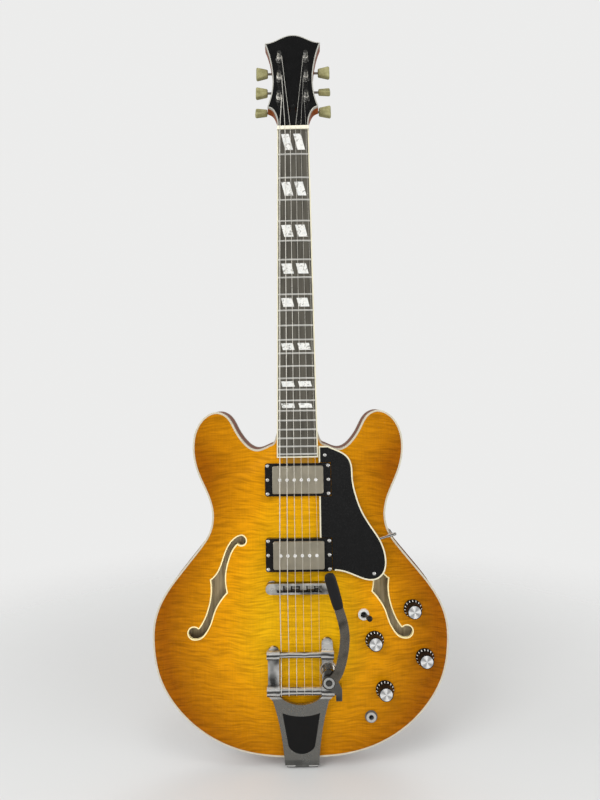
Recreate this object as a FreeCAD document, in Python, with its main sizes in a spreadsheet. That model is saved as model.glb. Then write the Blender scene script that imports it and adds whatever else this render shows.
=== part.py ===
import FreeCAD, Part
import math
import os

import Sketcher
from FreeCAD import Placement, Rotation, Vector

# Semi-hollow electric guitar with a hinged rocking tailpiece.
# Frame: +Z runs up the body towards the headstock, the strings face -Y, +X is to the right seen from
# the front. The origin is the middle of the end strap button's pin. Millimetres and degrees.

SIZES = {
    # Body shell, measured from its tail end
    "body_length": 482.4,
    "lower_bout": 411.0,
    "waist_width": 240.5,
    "upper_bout": 291.6,
    "rim_depth": 44.5,
    "rim_thickness": 5.0,
    "plate_thickness": 4.5,
    "arch_height": 13.0,
    "binding_width": 2.4,
    "binding_depth": 6.6,
    "lining_width": 6.5,
    "lining_height": 11.0,
    "block_width": 110.0,
    "glue_line": 0.05,
    # F-holes
    "f_hole_length": 147.0,
    "f_hole_x": 114.0,
    "f_hole_z": 239.0,
    "f_binding_width": 1.6,
    # Neck: the fret plane leans back from the body
    "scale_length": 628.65,
    "saddle_station": 248.0,
    "fret_plane_height": 26.0,
    "neck_angle": 3.0,
    "nut_width": 44.3,
    "board_end_width": 56.3,
    "board_length": 457.0,
    "board_thickness": 6.0,
    "board_radius": 305.0,
    "board_binding": 1.7,
    "neck_depth_nut": 20.5,
    "neck_depth_body": 24.0,
    "heel_width": 34.0,
    "heel_height": 26.0,
    "tenon_width": 40.0,
    "tenon_depth": 40.0,
    "tenon_length": 45.0,
    "tongue_depth": 7.0,
    "fret_count": 22,
    "fret_width": 2.4,
    "fret_crown": 1.1,
    "inlay_margin": 5.9,
    "inlay_gap": 6.3,
    "inlay_depth": 1.5,
    "nut_length": 4.8,
    "nut_rise": 1.9,
    "truss_rod_radius": 3.0,
    "truss_rod_depth": 13.5,
    "truss_rod_reach": 20.0,
    "truss_pocket_width": 10.0,
    "truss_pocket_length": 32.0,
    "cover_plate_width": 22.0,
    "cover_plate_length": 40.0,
    "cover_plate_thickness": 1.6,
    # Headstock
    "head_tilt": 17.0,
    "head_drop": 3.5,
    "head_length": 178.0,
    "head_tip_width": 82.6,
    "head_waist_width": 58.6,
    "head_ear_width": 72.6,
    "head_thickness": 14.0,
    "veneer_thickness": 1.5,
    "head_binding": 1.6,
    # Tuners
    "tuner_first": 51.3,
    "tuner_pitch": 37.9,
    "tuner_column": 19.2,
    "post_radius": 3.0,
    "post_rise": 14.0,
    "running_clearance": 0.05,
    "bushing_radius": 4.3,
    "bushing_flange_radius": 5.4,
    "bushing_flange_thickness": 1.3,
    "housing_width": 15.0,
    "housing_length": 16.0,
    "housing_depth": 9.0,
    "housing_wall": 1.4,
    "housing_round": 2.5,
    "gear_radius": 3.7,
    "gear_thickness": 2.6,
    "gear_gap": 0.25,
    "worm_radius": 1.6,
    "key_shaft_reach": 37.4,
    "button_length": 17.6,
    "button_width": 21.0,
    "button_neck_width": 11.5,
    "button_thickness": 7.4,
    "button_round": 2.2,
    # Strings, low to high, 46 to 10 thousandths of an inch
    "string_1_diameter": 1.17,
    "string_2_diameter": 0.91,
    "string_3_diameter": 0.66,
    "string_4_diameter": 0.43,
    "string_5_diameter": 0.33,
    "string_6_diameter": 0.25,
    "string_spread_nut": 36.5,
    "string_spread_bridge": 52.0,
    "string_height_nut": 1.9,
    "string_height_saddle": 4.7,
    "string_height_post": 7.0,
    "string_clearance": 0.12,
    "string_bend": 7.0,
    # Pickups, set in the plane of the strings
    "neck_pickup_place": 141.6,
    "bridge_pickup_place": 40.1,
    "ring_width": 89.5,
    "ring_length": 44.5,
    "ring_round": 3.0,
    "ring_top": 2.2,
    "cover_width": 69.0,
    "cover_length": 37.6,
    "cover_top": 1.0,
    "cover_height": 15.0,
    "cover_wall": 0.8,
    "cover_round": 2.4,
    "pickup_clearance": 0.4,
    "pickup_cavity_depth": 26.0,
    "coil_clearance": 0.6,
    "pole_pitch": 9.75,
    "pole_radius": 2.3,
    "pole_rise": 0.7,
    "ring_screw_inset": 3.3,
    "screw_head_radius": 2.3,
    "screw_head_height": 1.1,
    "screw_shank_radius": 1.1,
    "screw_shank_length": 12.0,
    # Bridge
    "bridge_setback": 4.4,
    "bridge_width": 90.6,
    "bridge_length": 14.6,
    "bridge_bottom": 17.6,
    "bridge_height": 9.4,
    "bridge_round": 7.0,
    "bridge_slot_depth": 5.0,
    "bridge_post_spread": 74.0,
    "bridge_post_radius": 2.4,
    "bridge_stud_depth": 20.0,
    "thumbwheel_radius": 8.2,
    "thumbwheel_height": 3.0,
    "saddle_1_setback": 4.6,
    "saddle_2_setback": 3.2,
    "saddle_3_setback": 2.0,
    "saddle_4_setback": 3.6,
    "saddle_5_setback": 2.4,
    "saddle_6_setback": 1.0,
    "saddle_width": 8.6,
    "saddle_length": 9.0,
    "saddle_height": 7.4,
    # Pickguard, parallel to the strings and clear of the arched top
    "guard_top": 3.2,
    "guard_thickness": 2.4,
    "guard_binding": 1.9,
    "guard_gap": 0.7,
    "guard_length": 201.0,
    "guard_width": 118.0,
    "guard_inner_edge": 28.9,
    "bracket_rod_radius": 1.5,
    # Controls
    "knob_1_x": 155.9,
    "knob_1_z": 207.5,
    "knob_2_x": 171.7,
    "knob_2_z": 139.4,
    "knob_3_x": 101.9,
    "knob_3_z": 167.0,
    "knob_4_x": 115.5,
    "knob_4_z": 97.7,
    "knob_radius": 12.7,
    "knob_top_radius": 9.6,
    "knob_skirt_height": 5.2,
    "knob_height": 15.0,
    "knob_cap_radius": 8.4,
    "knob_cap_height": 0.8,
    "knob_gap": 0.9,
    "pot_shaft_radius": 3.1,
    "pot_bushing_radius": 4.7,
    "pot_can_radius": 12.0,
    "pot_can_height": 11.0,
    "switch_x": 87.3,
    "switch_z": 202.8,
    "switch_nut_radius": 7.6,
    "switch_nut_height": 3.4,
    "switch_bushing_radius": 5.6,
    "switch_can_length": 30.0,
    "switch_can_width": 16.0,
    "switch_can_depth": 20.0,
    "lever_radius": 1.9,
    "lever_length": 19.0,
    "lever_pin_radius": 0.9,
    "lever_tip_radius": 4.0,
    "lever_tip_length": 11.0,
    "lever_lean": 20.0,
    "jack_x": 96.3,
    "jack_z": 59.3,
    "jack_nut_radius": 7.4,
    "jack_nut_height": 3.0,
    "jack_bushing_radius": 4.7,
    "jack_bore_radius": 3.25,
    "jack_depth": 24.0,
    "jack_can_radius": 8.0,
    # Hinged tailpiece
    "arm_inner": 29.0,
    "arm_outer": 44.2,
    "foot_left_station": 154.0,
    "foot_right_station": 165.6,
    "frame_thickness": 4.6,
    "frame_foot_height": 18.2,
    "frame_top_height": 21.0,
    "frame_top_station": 90.0,
    "frame_tail_height": 5.6,
    "frame_tail_width": 47.4,
    "frame_shoulder_width": 76.0,
    "tension_bar_station": 153.0,
    "tension_bar_height": 22.4,
    "tension_bar_radius": 3.9,
    "tension_ring_radius": 6.2,
    "string_bar_station": 106.2,
    "string_bar_height": 26.5,
    "string_bar_radius": 5.2,
    "string_ring_radius": 7.0,
    "ring_reach": 1.0,
    "pin_radius": 1.3,
    "pin_length": 4.5,
    "ball_radius": 2.1,
    "bar_block_inner": 46.9,
    "bar_block_outer": 55.0,
    "bar_block_length": 17.0,
    "bar_block_height": 15.2,
    "rocker_thickness": 3.6,
    "rocker_width": 17.0,
    "pivot_x": 37.7,
    "pivot_station": 123.6,
    "spring_x": 37.7,
    "spring_station": 131.5,
    "spring_radius": 8.0,
    "spring_wire_radius": 1.3,
    "spring_turns": 3.5,
    "cup_radius": 11.2,
    "cup_height": 1.6,
    "handle_reach": 157.0,
    "handle_width": 12.4,
    "handle_thickness": 3.2,
    "handle_rise": 9.0,
    "handle_gap": 0.3,
    "handle_eye_radius": 9.0,
    "grip_width": 15.2,
    "grip_thickness": 8.6,
    "grip_length": 49.5,
    "pivot_stud_radius": 3.0,
    "pivot_nut_radius": 5.3,
    "pivot_nut_height": 5.0,
    "panel_depth": 1.6,
    "panel_gap": 0.3,
    "hinge_axis_station": 10.4,
    "hinge_axis_height": 3.6,
    "hinge_barrel_radius": 4.4,
    "hinge_pin_radius": 1.8,
    "hinge_plate_thickness": 2.2,
    "hinge_plate_width": 46.0,
    "hinge_knuckle_inner": 9.3,
    "hinge_knuckle_outer": 21.5,
    # Strap buttons
    "strap_flange_radius": 6.6,
    "strap_flange_thickness": 1.6,
    "strap_pin_radius": 3.6,
    "strap_pin_length": 6.0,
    "strap_head_radius": 7.8,
    "strap_head_thickness": 3.4,
    # One overrun for every cut
    "cut_overrun": 3.0,
}

# Half outline of the body from the middle of the tail to the neck joint. Each table follows one
# width: shares of half that width across, and of the body length up from the tail.
LOWER_BOUT_SHARES = [
    (0.000, 0.0000), (0.418, 0.0207), (0.603, 0.0549), (0.725, 0.0912), (0.873, 0.1596),
    (0.958, 0.2280), (1.000, 0.3230), (0.988, 0.4022), (0.922, 0.4706), (0.804, 0.5400),
]
WAIST_SHARES = [(1.148, 0.6095), (1.044, 0.6488), (1.000, 0.7007), (1.040, 0.7525)]
UPPER_BOUT_SHARES = [
    (0.948, 0.8167), (1.000, 0.8852), (0.960, 0.9556), (0.871, 0.9888), (0.761, 1.0000),
    (0.665, 0.9867), (0.590, 0.9494), (0.514, 0.9142), (0.384, 0.8906), (0.261, 0.9038), (0.189, 0.9438),
]

# Arch of the plates: share of the body length, the width that the arch follows, its half span as a
# share of half that width, and its crown as a share of the arch height.
ARCH_SHARES = [
    (-0.060, "lower_bout", 0.700, 0.015),
    (0.012, "lower_bout", 0.700, 0.015),
    (0.085, "lower_bout", 0.800, 0.340),
    (0.180, "lower_bout", 0.900, 0.740),
    (0.310, "lower_bout", 0.945, 0.960),
    (0.480, "lower_bout", 0.860, 1.000),
    (0.590, "waist_width", 1.080, 1.000),
    (0.700, "waist_width", 0.920, 0.980),
    (0.780, "upper_bout", 0.830, 0.930),
    (0.835, "upper_bout", 0.620, 0.860),
    (0.880, "upper_bout", 0.360, 0.760),
    (0.930, "upper_bout", 0.210, 0.640),
    (1.060, "upper_bout", 0.200, 0.600),
]
RECURVE_SHARE = 0.30

# F-hole outline, seen on the left side, as shares of its length from its middle. Each list is one
# smooth edge; the edges meet in the corners of the nicks and of the eyes.
F_HOLE_SHARES = [
    [(0.197, 0.403), (0.286, 0.430), (0.222, 0.499)],
    [(0.222, 0.499), (0.134, 0.440), (0.069, 0.326), (0.024, 0.197), (-0.071, 0.075)],
    [(-0.071, 0.075), (-0.063, -0.050), (-0.090, -0.190), (-0.150, -0.332), (-0.184, -0.381)],
    [(-0.184, -0.381), (-0.293, -0.424), (-0.218, -0.499)],
    [(-0.218, -0.499), (-0.153, -0.479), (-0.102, -0.422), (-0.056, -0.333), (-0.018, -0.219),
     (0.034, -0.126), (0.103, -0.042)],
    [(0.103, -0.042), (0.087, 0.050), (0.087, 0.127), (0.110, 0.239), (0.148, 0.338), (0.197, 0.403)],
]

# Neck back: place along the scale from the saddle, and depth between its two named depths.
NECK_SHARES = [(1.020, 0.0), (0.940, 0.0), (0.500, 0.7), (0.405, 1.0)]

# Headstock half outline: across in shares of the named half widths, up in shares of its length.
HEAD_TOP_SHARES = [(0.000, 1.000), (0.300, 0.984), (0.660, 0.934), (0.985, 0.910)]
HEAD_SIDE_SHARES = [("head_tip_width", 1.000, 0.902), ("head_waist_width", 1.190, 0.768),
                    ("head_waist_width", 1.055, 0.627), ("head_waist_width", 1.000, 0.515),
                    ("head_waist_width", 1.050, 0.358), ("head_ear_width", 1.000, 0.222)]
HEAD_THROAT_SHARES = [("head_ear_width", 0.985, 0.212), ("head_ear_width", 0.830, 0.194),
                      ("head_ear_width", 0.692, 0.142), ("nut_width", 1.000, 0.075), ("nut_width", 1.000,
                                                                                      0.000)]

# Pickguard's free edge from the end of the fingerboard round to the bridge pickup: shares of the
# guard's width across and of its length up the strings from the saddle line.
GUARD_SHARES = [
    (0.352, 0.930), (0.500, 0.891), (0.584, 0.853), (0.620, 0.809), (0.633, 0.715), (0.673, 0.590),
    (0.734, 0.490), (0.847, 0.377), (0.941, 0.289), (0.992, 0.201), (1.000, 0.139), (0.967, 0.070),
    (0.881, 0.030), (0.775, 0.028), (0.649, 0.054), (0.501, 0.086), (0.374, 0.093),
]

INLAID_FRETS = [1, 3, 5, 7, 9, 12, 15, 17]
# Length of an inlay in shares of its fret space, what each fret takes off it, and the slant of its sides
INLAY_LENGTH_SHARE = 0.66
INLAY_SHORTENING_SHARE = 0.0125
INLAY_SLANT_SHARE = 0.25
KEY_TURNS = [-23.0, -1.0, 8.0, 5.0, -29.0, -1.0]

# Handle's middle line from its pivot: across from the pivot and up from it, in shares of its reach.
HANDLE_SHARES = [(0.000, 0.000), (0.101, 0.145), (0.123, 0.261), (0.138, 0.377), (0.124, 0.507),
                 (0.074, 0.695)]
# Place along the grip and shares of its width and thickness there
GRIP_SHARES = ((0, 0.78, 0.72), (0.05, 0.88, 0.86), (0.14, 0.94, 0.94), (0.55, 1.0, 1.0), (0.84, 0.97, 0.97),
               (0.93, 0.86, 0.87), (0.975, 0.68, 0.70), (0.995, 0.42, 0.45))
# Start and end of the bracket's rod, in shares of the pickguard's width and length
BRACKET_SHARES = ((0.78, 0.270), (1.11, 0.329))
# Heel button along the body, depth of the frame's crescent cut and depth of the spring's cup
HEEL_BUTTON_SHARE = 0.925
CRESCENT_DEPTH_SHARE = 0.14
CUP_FLOOR_SHARE = 0.93
# Turn of a string round its post, and the way the string pins lean, in degrees
STRING_WRAP_TURN = 146.0
PIN_DIRECTION = 255.0
# An edge this much longer than its chord is redrawn through so many points
STRAIGHT_SHARE = 0.00001
REDRAWN_POINTS = 7


class Size:
    """A value of the sheet together with the formula that gives it."""

    def __init__(self, value, formula):
        self.value = float(value)
        self.formula = formula

    @staticmethod
    def of(other):
        return other if isinstance(other, Size) else Size(other, repr(other))

    def join(self, sign, other, value):
        return Size(value, f"({self.formula} {sign} {Size.of(other).formula})")

    def __add__(self, other):
        return self.join("+", other, self.value + Size.of(other).value)

    def __sub__(self, other):
        return self.join("-", other, self.value - Size.of(other).value)

    def __mul__(self, other):
        return self.join("*", other, self.value * Size.of(other).value)

    def __truediv__(self, other):
        return self.join("/", other, self.value / Size.of(other).value)

    def __radd__(self, other):
        return Size.of(other) + self

    def __rsub__(self, other):
        return Size.of(other) - self

    def __rmul__(self, other):
        return Size.of(other) * self

    def __neg__(self):
        return Size(-self.value, f"(0 - {self.formula})")


class Sheet:
    """Gives each named size as a Size, bound to its cell."""

    def __init__(self, sheet):
        self.sheet = sheet

    def __getattr__(self, name):
        return Size(self.sheet.get(name), "Sizes." + name)


class Values:
    """Gives each named size as a plain number."""

    def __init__(self, sheet):
        self.sheet = sheet

    def __getattr__(self, name):
        return float(self.sheet.get(name))


doc = FreeCAD.newDocument("Guitar")
size_sheet = doc.addObject("Spreadsheet::Sheet", "Sizes")
for row, (size_name, size_value) in enumerate(SIZES.items(), start=1):
    size_sheet.set(f"A{row}", size_name)
    size_sheet.set(f"B{row}", str(size_value))
    size_sheet.setAlias(f"B{row}", size_name)
doc.recompute()
s = Sheet(size_sheet)
d = Values(size_sheet)
nodes = []

# The tail end of the body lies behind the strap button's pin, its flange and the hinge plate.
button_head = s.strap_pin_length / 2 + s.strap_flange_thickness * 0.2 + s.strap_head_thickness * 0.4
tail = button_head + s.strap_pin_length / 2 + s.strap_flange_thickness + s.hinge_plate_thickness
FRONT = Vector(0, -1, 0)
TURNS = {
    "up": Rotation(),
    "right": Rotation(Vector(0, 1, 0), 90),
    "front": Rotation(Vector(1, 0, 0), 90),
    "down": Rotation(Vector(1, 0, 0), 180),
    "back": Rotation(Vector(1, 0, 0), -90),
}


def keep(item, label):
    """Mark an object as a finished piece and name it."""
    item.Label = label
    nodes.append(item)
    return item


def bind(item, **sizes):
    for prop, size in sizes.items():
        item.setExpression(prop, Size.of(size).formula)


def place(item, corner, turn="up"):
    """Put an object at a bound place."""
    corner = [Size.of(value) for value in corner]
    item.Placement = Placement(Vector(*[value.value for value in corner]), TURNS[turn])
    for axis, value in zip("xyz", corner):
        item.setExpression(f".Placement.Base.{axis}", value.formula)
    return item


def neck_frame():
    """Saddle line on the fret plane, +Z up the scale."""
    base = Vector(0, -d.rim_depth / 2 - d.fret_plane_height, tail.value + d.saddle_station)
    return Placement(base, Rotation(Vector(1, 0, 0), -d.neck_angle))


def head_frame():
    """Middle of the headstock's front face at the nut."""
    step = Placement(Vector(0, d.head_drop, d.scale_length + d.nut_length),
                     Rotation(Vector(1, 0, 0), -d.head_tilt))
    return neck_frame().multiply(step)


def feature(label, shape, frame=None):
    """A finished piece whose form is worked out in code."""
    item = doc.addObject("Part::Feature", label)
    item.Shape = shape
    if frame is not None:
        item.Placement = frame
    return keep(item, label)


def moved(shape, frame):
    copy = shape.copy()
    copy.Placement = frame.multiply(copy.Placement)
    return copy


def box(low, high):
    """A solid box between two corners."""
    sides = [b - a for a, b in zip(low, high)]
    return Part.makeBox(*sides, Vector(*low))


def rod(radius, start, end):
    """A solid cylinder between two points."""
    start, end = Vector(*start), Vector(*end)
    return Part.makeCylinder(radius, (end - start).Length, start, end - start)


def smooth_edge(points):
    curve = Part.BSplineCurve()
    curve.interpolate(points)
    return curve.toShape()


def edge_through(points):
    """An arc through three points or a smooth edge through more."""
    if len(points) == 2:
        return Part.makeLine(*points)
    if len(points) == 3:
        return Part.Arc(*points).toShape()
    return smooth_edge(points)


def closed_face(edges):
    return Part.Face(Part.Wire(Part.__sortEdges__(edges)))


def drawn_in(wire, inset):
    """A closed wire moved inwards, each of its edges redrawn as a line or one smooth edge."""
    edges = []
    for edge in wire.makeOffset2D(-inset).Edges:
        first, last = edge.Vertexes[0].Point, edge.Vertexes[-1].Point
        if edge.Length - first.distanceToPoint(last) < edge.Length * STRAIGHT_SHARE:
            edges.append(Part.makeLine(first, last))
            continue
        count = max(REDRAWN_POINTS, int(edge.Length / (d.neck_depth_nut / 2)))
        edges.append(smooth_edge(edge.discretize(Number=count)))
    return Part.Wire(Part.__sortEdges__(edges))


def primitive(kind, name, corner, turn="up", **sizes):
    item = doc.addObject("Part::" + kind, name)
    bind(item, **sizes)
    return place(item, corner, turn)


def joined(label, kind, parts):
    """Fuse or group objects into one."""
    item = doc.addObject("Part::" + kind, label)
    if kind == "Compound":
        item.Links = parts
    else:
        item.Shapes = parts
    return item


def cut(label, base, tool):
    item = doc.addObject("Part::Cut", label)
    item.Base = base
    item.Tool = tool
    return item


def origin_plane(body, role):
    return next(item for item in body.Origin.OriginFeatures if item.Role == role)


def bound_profile(body, name, role, points):
    """A closed polygon sketch whose corners are bound to the sheet."""
    sketch = body.newObject("Sketcher::SketchObject", name)
    sketch.AttachmentSupport = [(origin_plane(body, role), "")]
    sketch.MapMode = "FlatFace"
    points = [(Size.of(across), Size.of(up)) for across, up in points]
    corners = [Vector(across.value, up.value, 0) for across, up in points]
    for index, corner in enumerate(corners):
        sketch.addGeometry(Part.LineSegment(corner, corners[(index + 1) % len(corners)]), False)
    for index in range(len(corners)):
        sketch.addConstraint(Sketcher.Constraint("Coincident", index, 2, (index + 1) % len(corners), 1))
    for index, place_pair in enumerate(points):
        for kind, axis, size in zip(("DistanceX", "DistanceY"), (-2, -1), place_pair):
            if size.value == 0:
                sketch.addConstraint(Sketcher.Constraint("PointOnObject", index, 1, axis))
                continue
            number = sketch.addConstraint(Sketcher.Constraint(kind, -1, 1, index, 1, size.value))
            sketch.setExpression(f"Constraints[{number}]", size.formula)
    return sketch


def turned_body(label, points):
    """A piece turned about +Z from a bound profile of radius and height."""
    body = doc.addObject("PartDesign::Body", label)
    sketch = bound_profile(body, label + "_profile", "XZ_Plane", points)
    turn = body.newObject("PartDesign::Revolution", label + "_turn")
    turn.Profile = sketch
    turn.ReferenceAxis = (sketch, ["V_Axis"])
    turn.Angle = 360
    body.Tip = turn
    return body


# Body shell


def body_outline():
    """The body's closed outline, from the tail round both sides to the neck joint."""
    tables = ((LOWER_BOUT_SHARES, d.lower_bout), (WAIST_SHARES, d.waist_width), (UPPER_BOUT_SHARES,
                                                                                 d.upper_bout))
    right = [Vector(across * width / 2, 0, tail.value + up * d.body_length)
             for table, width in tables for across, up in table]
    edges = []
    for side in (1, -1):
        points = [Vector(side * point.x, 0, point.z) for point in right]
        curve = Part.BSplineCurve()
        curve.interpolate(Points=points, InitialTangent=Vector(side, 0, 0),
                          FinalTangent=Vector(-side * 0.3, 0, 1))
        edges.append(curve.toShape())
    joint = right[-1]
    edges.append(Part.makeLine(joint, Vector(-joint.x, 0, joint.z)))
    return Part.Wire(Part.__sortEdges__(edges))


def body_slab(outline, inset, low, high):
    """The outline, drawn in by an inset, as a slab between two depths."""
    wire = drawn_in(outline, inset) if inset else outline
    face = Part.Face(wire)
    face.translate(Vector(0, low, 0))
    return face.extrude(Vector(0, high - low, 0))


def arch_section(station, span, crown, reach):
    """Cross-section under the arch: flat margins, hollow recurves and a round crown."""
    total = (span * span + crown * crown) / (2 * crown)
    hollow = RECURVE_SHARE * total
    round_radius = total - hollow
    joint_x = span * round_radius / total
    joint_h = crown - round_radius + (hollow - crown + round_radius) * round_radius / total
    half = math.atan2(span - joint_x, hollow - joint_h) / 2
    middle_x = span - hollow * math.sin(half)
    middle_h = hollow - hollow * math.cos(half)

    def point(across, height):
        return Vector(across, -d.rim_depth / 2 - height, station)

    left = [point(-span, 0), point(-middle_x, middle_h), point(-joint_x, joint_h)]
    top = [left[-1], point(0, crown), point(joint_x, joint_h)]
    right = [top[-1], point(middle_x, middle_h), point(span, 0)]
    floor = -d.rim_depth / 2
    edges = [Part.makeLine(point(-reach, 0), left[0]), Part.Arc(*left).toShape(), Part.Arc(*top).toShape(),
             Part.Arc(*right).toShape(), Part.makeLine(right[-1], point(reach, 0)),
             Part.makeLine(point(reach, 0), point(reach, floor)),
             Part.makeLine(point(reach, floor), point(-reach, floor)),
             Part.makeLine(point(-reach, floor), point(-reach, 0))]
    return Part.Wire(edges)


def arch_blank():
    """Everything under the front arch, wider than the body on every side."""
    reach = d.lower_bout / 2 + d.binding_depth * 2
    sections = [arch_section(tail.value + up * d.body_length, span * getattr(d, width) / 2,
                             crown * d.arch_height, reach)
                for up, width, span, crown in ARCH_SHARES]
    return Part.makeLoft(sections, True, False)


def f_hole_wire(side):
    """Outer edge of one f-hole's binding, on the rim's front plane."""
    edges = []
    for points in F_HOLE_SHARES:
        places = [Vector(-side * (-d.f_hole_x + across * d.f_hole_length), 0,
                         tail.value + d.f_hole_z + up * d.f_hole_length) for across, up in points]
        edges.append(edge_through(places))
    return Part.Wire(Part.__sortEdges__(edges))


def through_slab(wire):
    """A wire of the front view as a prism that runs through the front plate."""
    face = Part.Face(wire)
    face.translate(Vector(0, -d.rim_depth / 2 - d.arch_height - d.cut_overrun, 0))
    return face.extrude(Vector(0, d.arch_height + d.plate_thickness + 2 * d.cut_overrun, 0))


def top_height(blank, across, station):
    """Height of the arched front over the rim plane at a place."""
    line = Part.makeLine(Vector(across, 0, station), Vector(across, -2 * d.rim_depth, station))
    return -blank.common(line).BoundBox.YMin - d.rim_depth / 2


# Neck


def board_blank(inset):
    """The fingerboard, drawn in at its sides and its body end, under one round of the board's radius."""
    high, low = d.scale_length, d.scale_length - d.board_length + inset
    corners = [Vector(side * (board_half_width(station) - inset), -d.cut_overrun, station)
               for side, station in ((-1, low), (1, low), (1, high), (-1, high))]
    prism = Part.Face(Part.makePolygon(corners + corners[:1])).extrude(Vector(0,
                                                                              d.cut_overrun
                                                                              + d.board_thickness, 0))
    axis = (0, d.board_radius)
    return prism.common(rod(d.board_radius, (*axis, low - d.cut_overrun), (*axis, high + d.cut_overrun)))


def fret_station(number):
    return d.scale_length * 2 ** (-number / 12)


def board_half_width(station):
    share = (d.scale_length - station) / d.board_length
    return (d.nut_width + (d.board_end_width - d.nut_width) * share) / 2


def frets():
    """Round-topped frets that follow the board's radius."""
    axis = Vector(0, d.board_radius, 0)
    solids = []
    for number in range(1, int(d.fret_count) + 1):
        station = fret_station(number)
        half = board_half_width(station) - d.board_binding
        reach = math.degrees(math.asin(half / d.board_radius))
        ends = [Vector(0, 0, station - d.fret_width / 2), Vector(0, -d.fret_crown, station),
                Vector(0, 0, station + d.fret_width / 2)]
        profile = Part.Face(Part.Wire([Part.Arc(*ends).toShape(), Part.makeLine(ends[2], ends[0])]))
        profile.rotate(axis, Vector(0, 0, 1), -reach)
        solids.append(profile.revolve(axis, Vector(0, 0, 1), 2 * reach))
    return Part.makeCompound(solids)


def inlay_prisms():
    """Pairs of slanted blocks through the board's surface."""
    solids = []
    for number in INLAID_FRETS:
        high, low = fret_station(number - 1), fret_station(number)
        length = (high - low) * (INLAY_LENGTH_SHARE - INLAY_SHORTENING_SHARE * number)
        slant = length * INLAY_SLANT_SHARE
        top, bottom = (high + low + length) / 2, (high + low - length) / 2
        half = board_half_width(bottom) - d.inlay_margin
        width = half - (d.inlay_gap + slant) / 2
        for start in (-half, half - width - slant):
            corners = [Vector(start, -d.inlay_depth, top), Vector(start + width, -d.inlay_depth, top),
                       Vector(start + width + slant, -d.inlay_depth, bottom),
                       Vector(start + slant, -d.inlay_depth, bottom)]
            face = Part.Face(Part.makePolygon(corners + corners[:1]))
            solids.append(face.extrude(Vector(0, 2 * d.inlay_depth, 0)))
    return Part.makeCompound(solids)


def neck_section(station, depth, foot_half):
    """Back of the neck: flat top under the board, sides, and a round back."""
    half = board_half_width(min(station, d.scale_length))
    top = d.board_thickness
    side = top + (depth - top) * 0.12 if foot_half is None else depth - foot_half * 0.75
    low_half = half if foot_half is None else foot_half
    points = [Vector(-half, top, station), Vector(-low_half, side, station), Vector(0, depth, station),
              Vector(low_half, side, station), Vector(half, top, station)]
    return Part.Wire([Part.makeLine(points[0], points[1]), Part.Arc(*points[1:4]).toShape(),
                      Part.makeLine(points[3], points[4]), Part.makeLine(points[4], points[0])])


def neck_shaft():
    """The neck's back from the nut to where the heel starts."""
    deeper = d.neck_depth_body - d.neck_depth_nut
    sections = [neck_section(up * d.scale_length, d.neck_depth_nut + deeper * deep, None)
                for up, deep in NECK_SHARES]
    return Part.makeLoft(sections, True, False)


def joint_station():
    """Where the body's edge meets the neck, along the scale."""
    return UPPER_BOUT_SHARES[-1][1] * d.body_length - d.saddle_station


def heel():
    """The heel deepens from the shaft to the back of the rim at the neck joint."""
    start = NECK_SHARES[-1][0] * d.scale_length
    end = joint_station()
    full = d.fret_plane_height + d.rim_depth + ARCH_SHARES[-1][3] * d.arch_height
    full -= end * math.sin(math.radians(d.neck_angle))
    first = neck_section(start, d.neck_depth_body, None)
    last = neck_section(end, full, d.heel_width / 2)
    middle = neck_section(end + d.heel_height / 2, d.neck_depth_body + (full - d.neck_depth_body) * 0.62,
                          d.heel_width / 2)
    return Part.makeLoft([first, middle, last], True, False)


def tenon():
    """The tongue under the board and the tenon that stands in the block."""
    low = joint_station() - d.tenon_length
    end = d.scale_length - d.board_length
    tongue = [Vector(-board_half_width(end), d.board_thickness, end),
              Vector(board_half_width(end), d.board_thickness, end),
              Vector(board_half_width(joint_station()), d.board_thickness, joint_station()),
              Vector(-board_half_width(joint_station()), d.board_thickness, joint_station())]
    tongue_solid = Part.Face(Part.makePolygon(tongue + tongue[:1])).extrude(Vector(0, d.tongue_depth, 0))
    half = d.tenon_width / 2
    block = box((-half, d.board_thickness, low), (half, d.board_thickness + d.tenon_depth, joint_station()))
    return tongue_solid.fuse(block)


def head_outline(inset):
    """Headstock outline in its own face plane."""
    def point(across, up):
        return Vector(across, 0, up * d.head_length)

    half_tip = d.head_tip_width / 2
    top = [point(across * half_tip, up) for across, up in HEAD_TOP_SHARES]
    side = [point(across * getattr(d, width) / 2, up) for width, across, up in HEAD_SIDE_SHARES]
    throat = [point(across * getattr(d, width) / 2, up) for width, across, up in HEAD_THROAT_SHARES]
    edges = []
    for sign in (1, -1):
        runs = [[Vector(sign * p.x, 0, p.z) for p in run] for run in (top, side, throat)]
        edges += [edge_through(run) for run in runs]
        edges += [Part.makeLine(runs[0][-1], runs[1][0]), Part.makeLine(runs[1][-1], runs[2][0])]
    foot = throat[-1]
    edges.append(Part.makeLine(Vector(-foot.x, 0, foot.z), foot))
    wire = Part.Wire(Part.__sortEdges__(edges))
    return drawn_in(wire, inset) if inset else wire


def head_slab(inset, low, high):
    """The headstock's outline as a slab; an inset draws in its sides but not its foot at the nut."""
    face = Part.Face(head_outline(inset))
    face.translate(Vector(0, low, 0))
    slab = face.extrude(Vector(0, high - low, 0))
    if inset:
        half = d.nut_width / 2 - inset
        slab = slab.fuse(box((-half, low, 0), (half, high, inset * 3))).removeSplitter()
    return slab


def tuner_places():
    """Across and up on the headstock, from the low string's tuner round to the high one's."""
    rows = [d.tuner_first + d.tuner_pitch * row for row in range(3)]
    return [(-d.tuner_column, up) for up in rows] + [(d.tuner_column, up) for up in reversed(rows)]


def worm_offset():
    return d.gear_radius + d.worm_radius + d.gear_gap


def gear_middle():
    return d.head_thickness + d.housing_depth / 2


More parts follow.
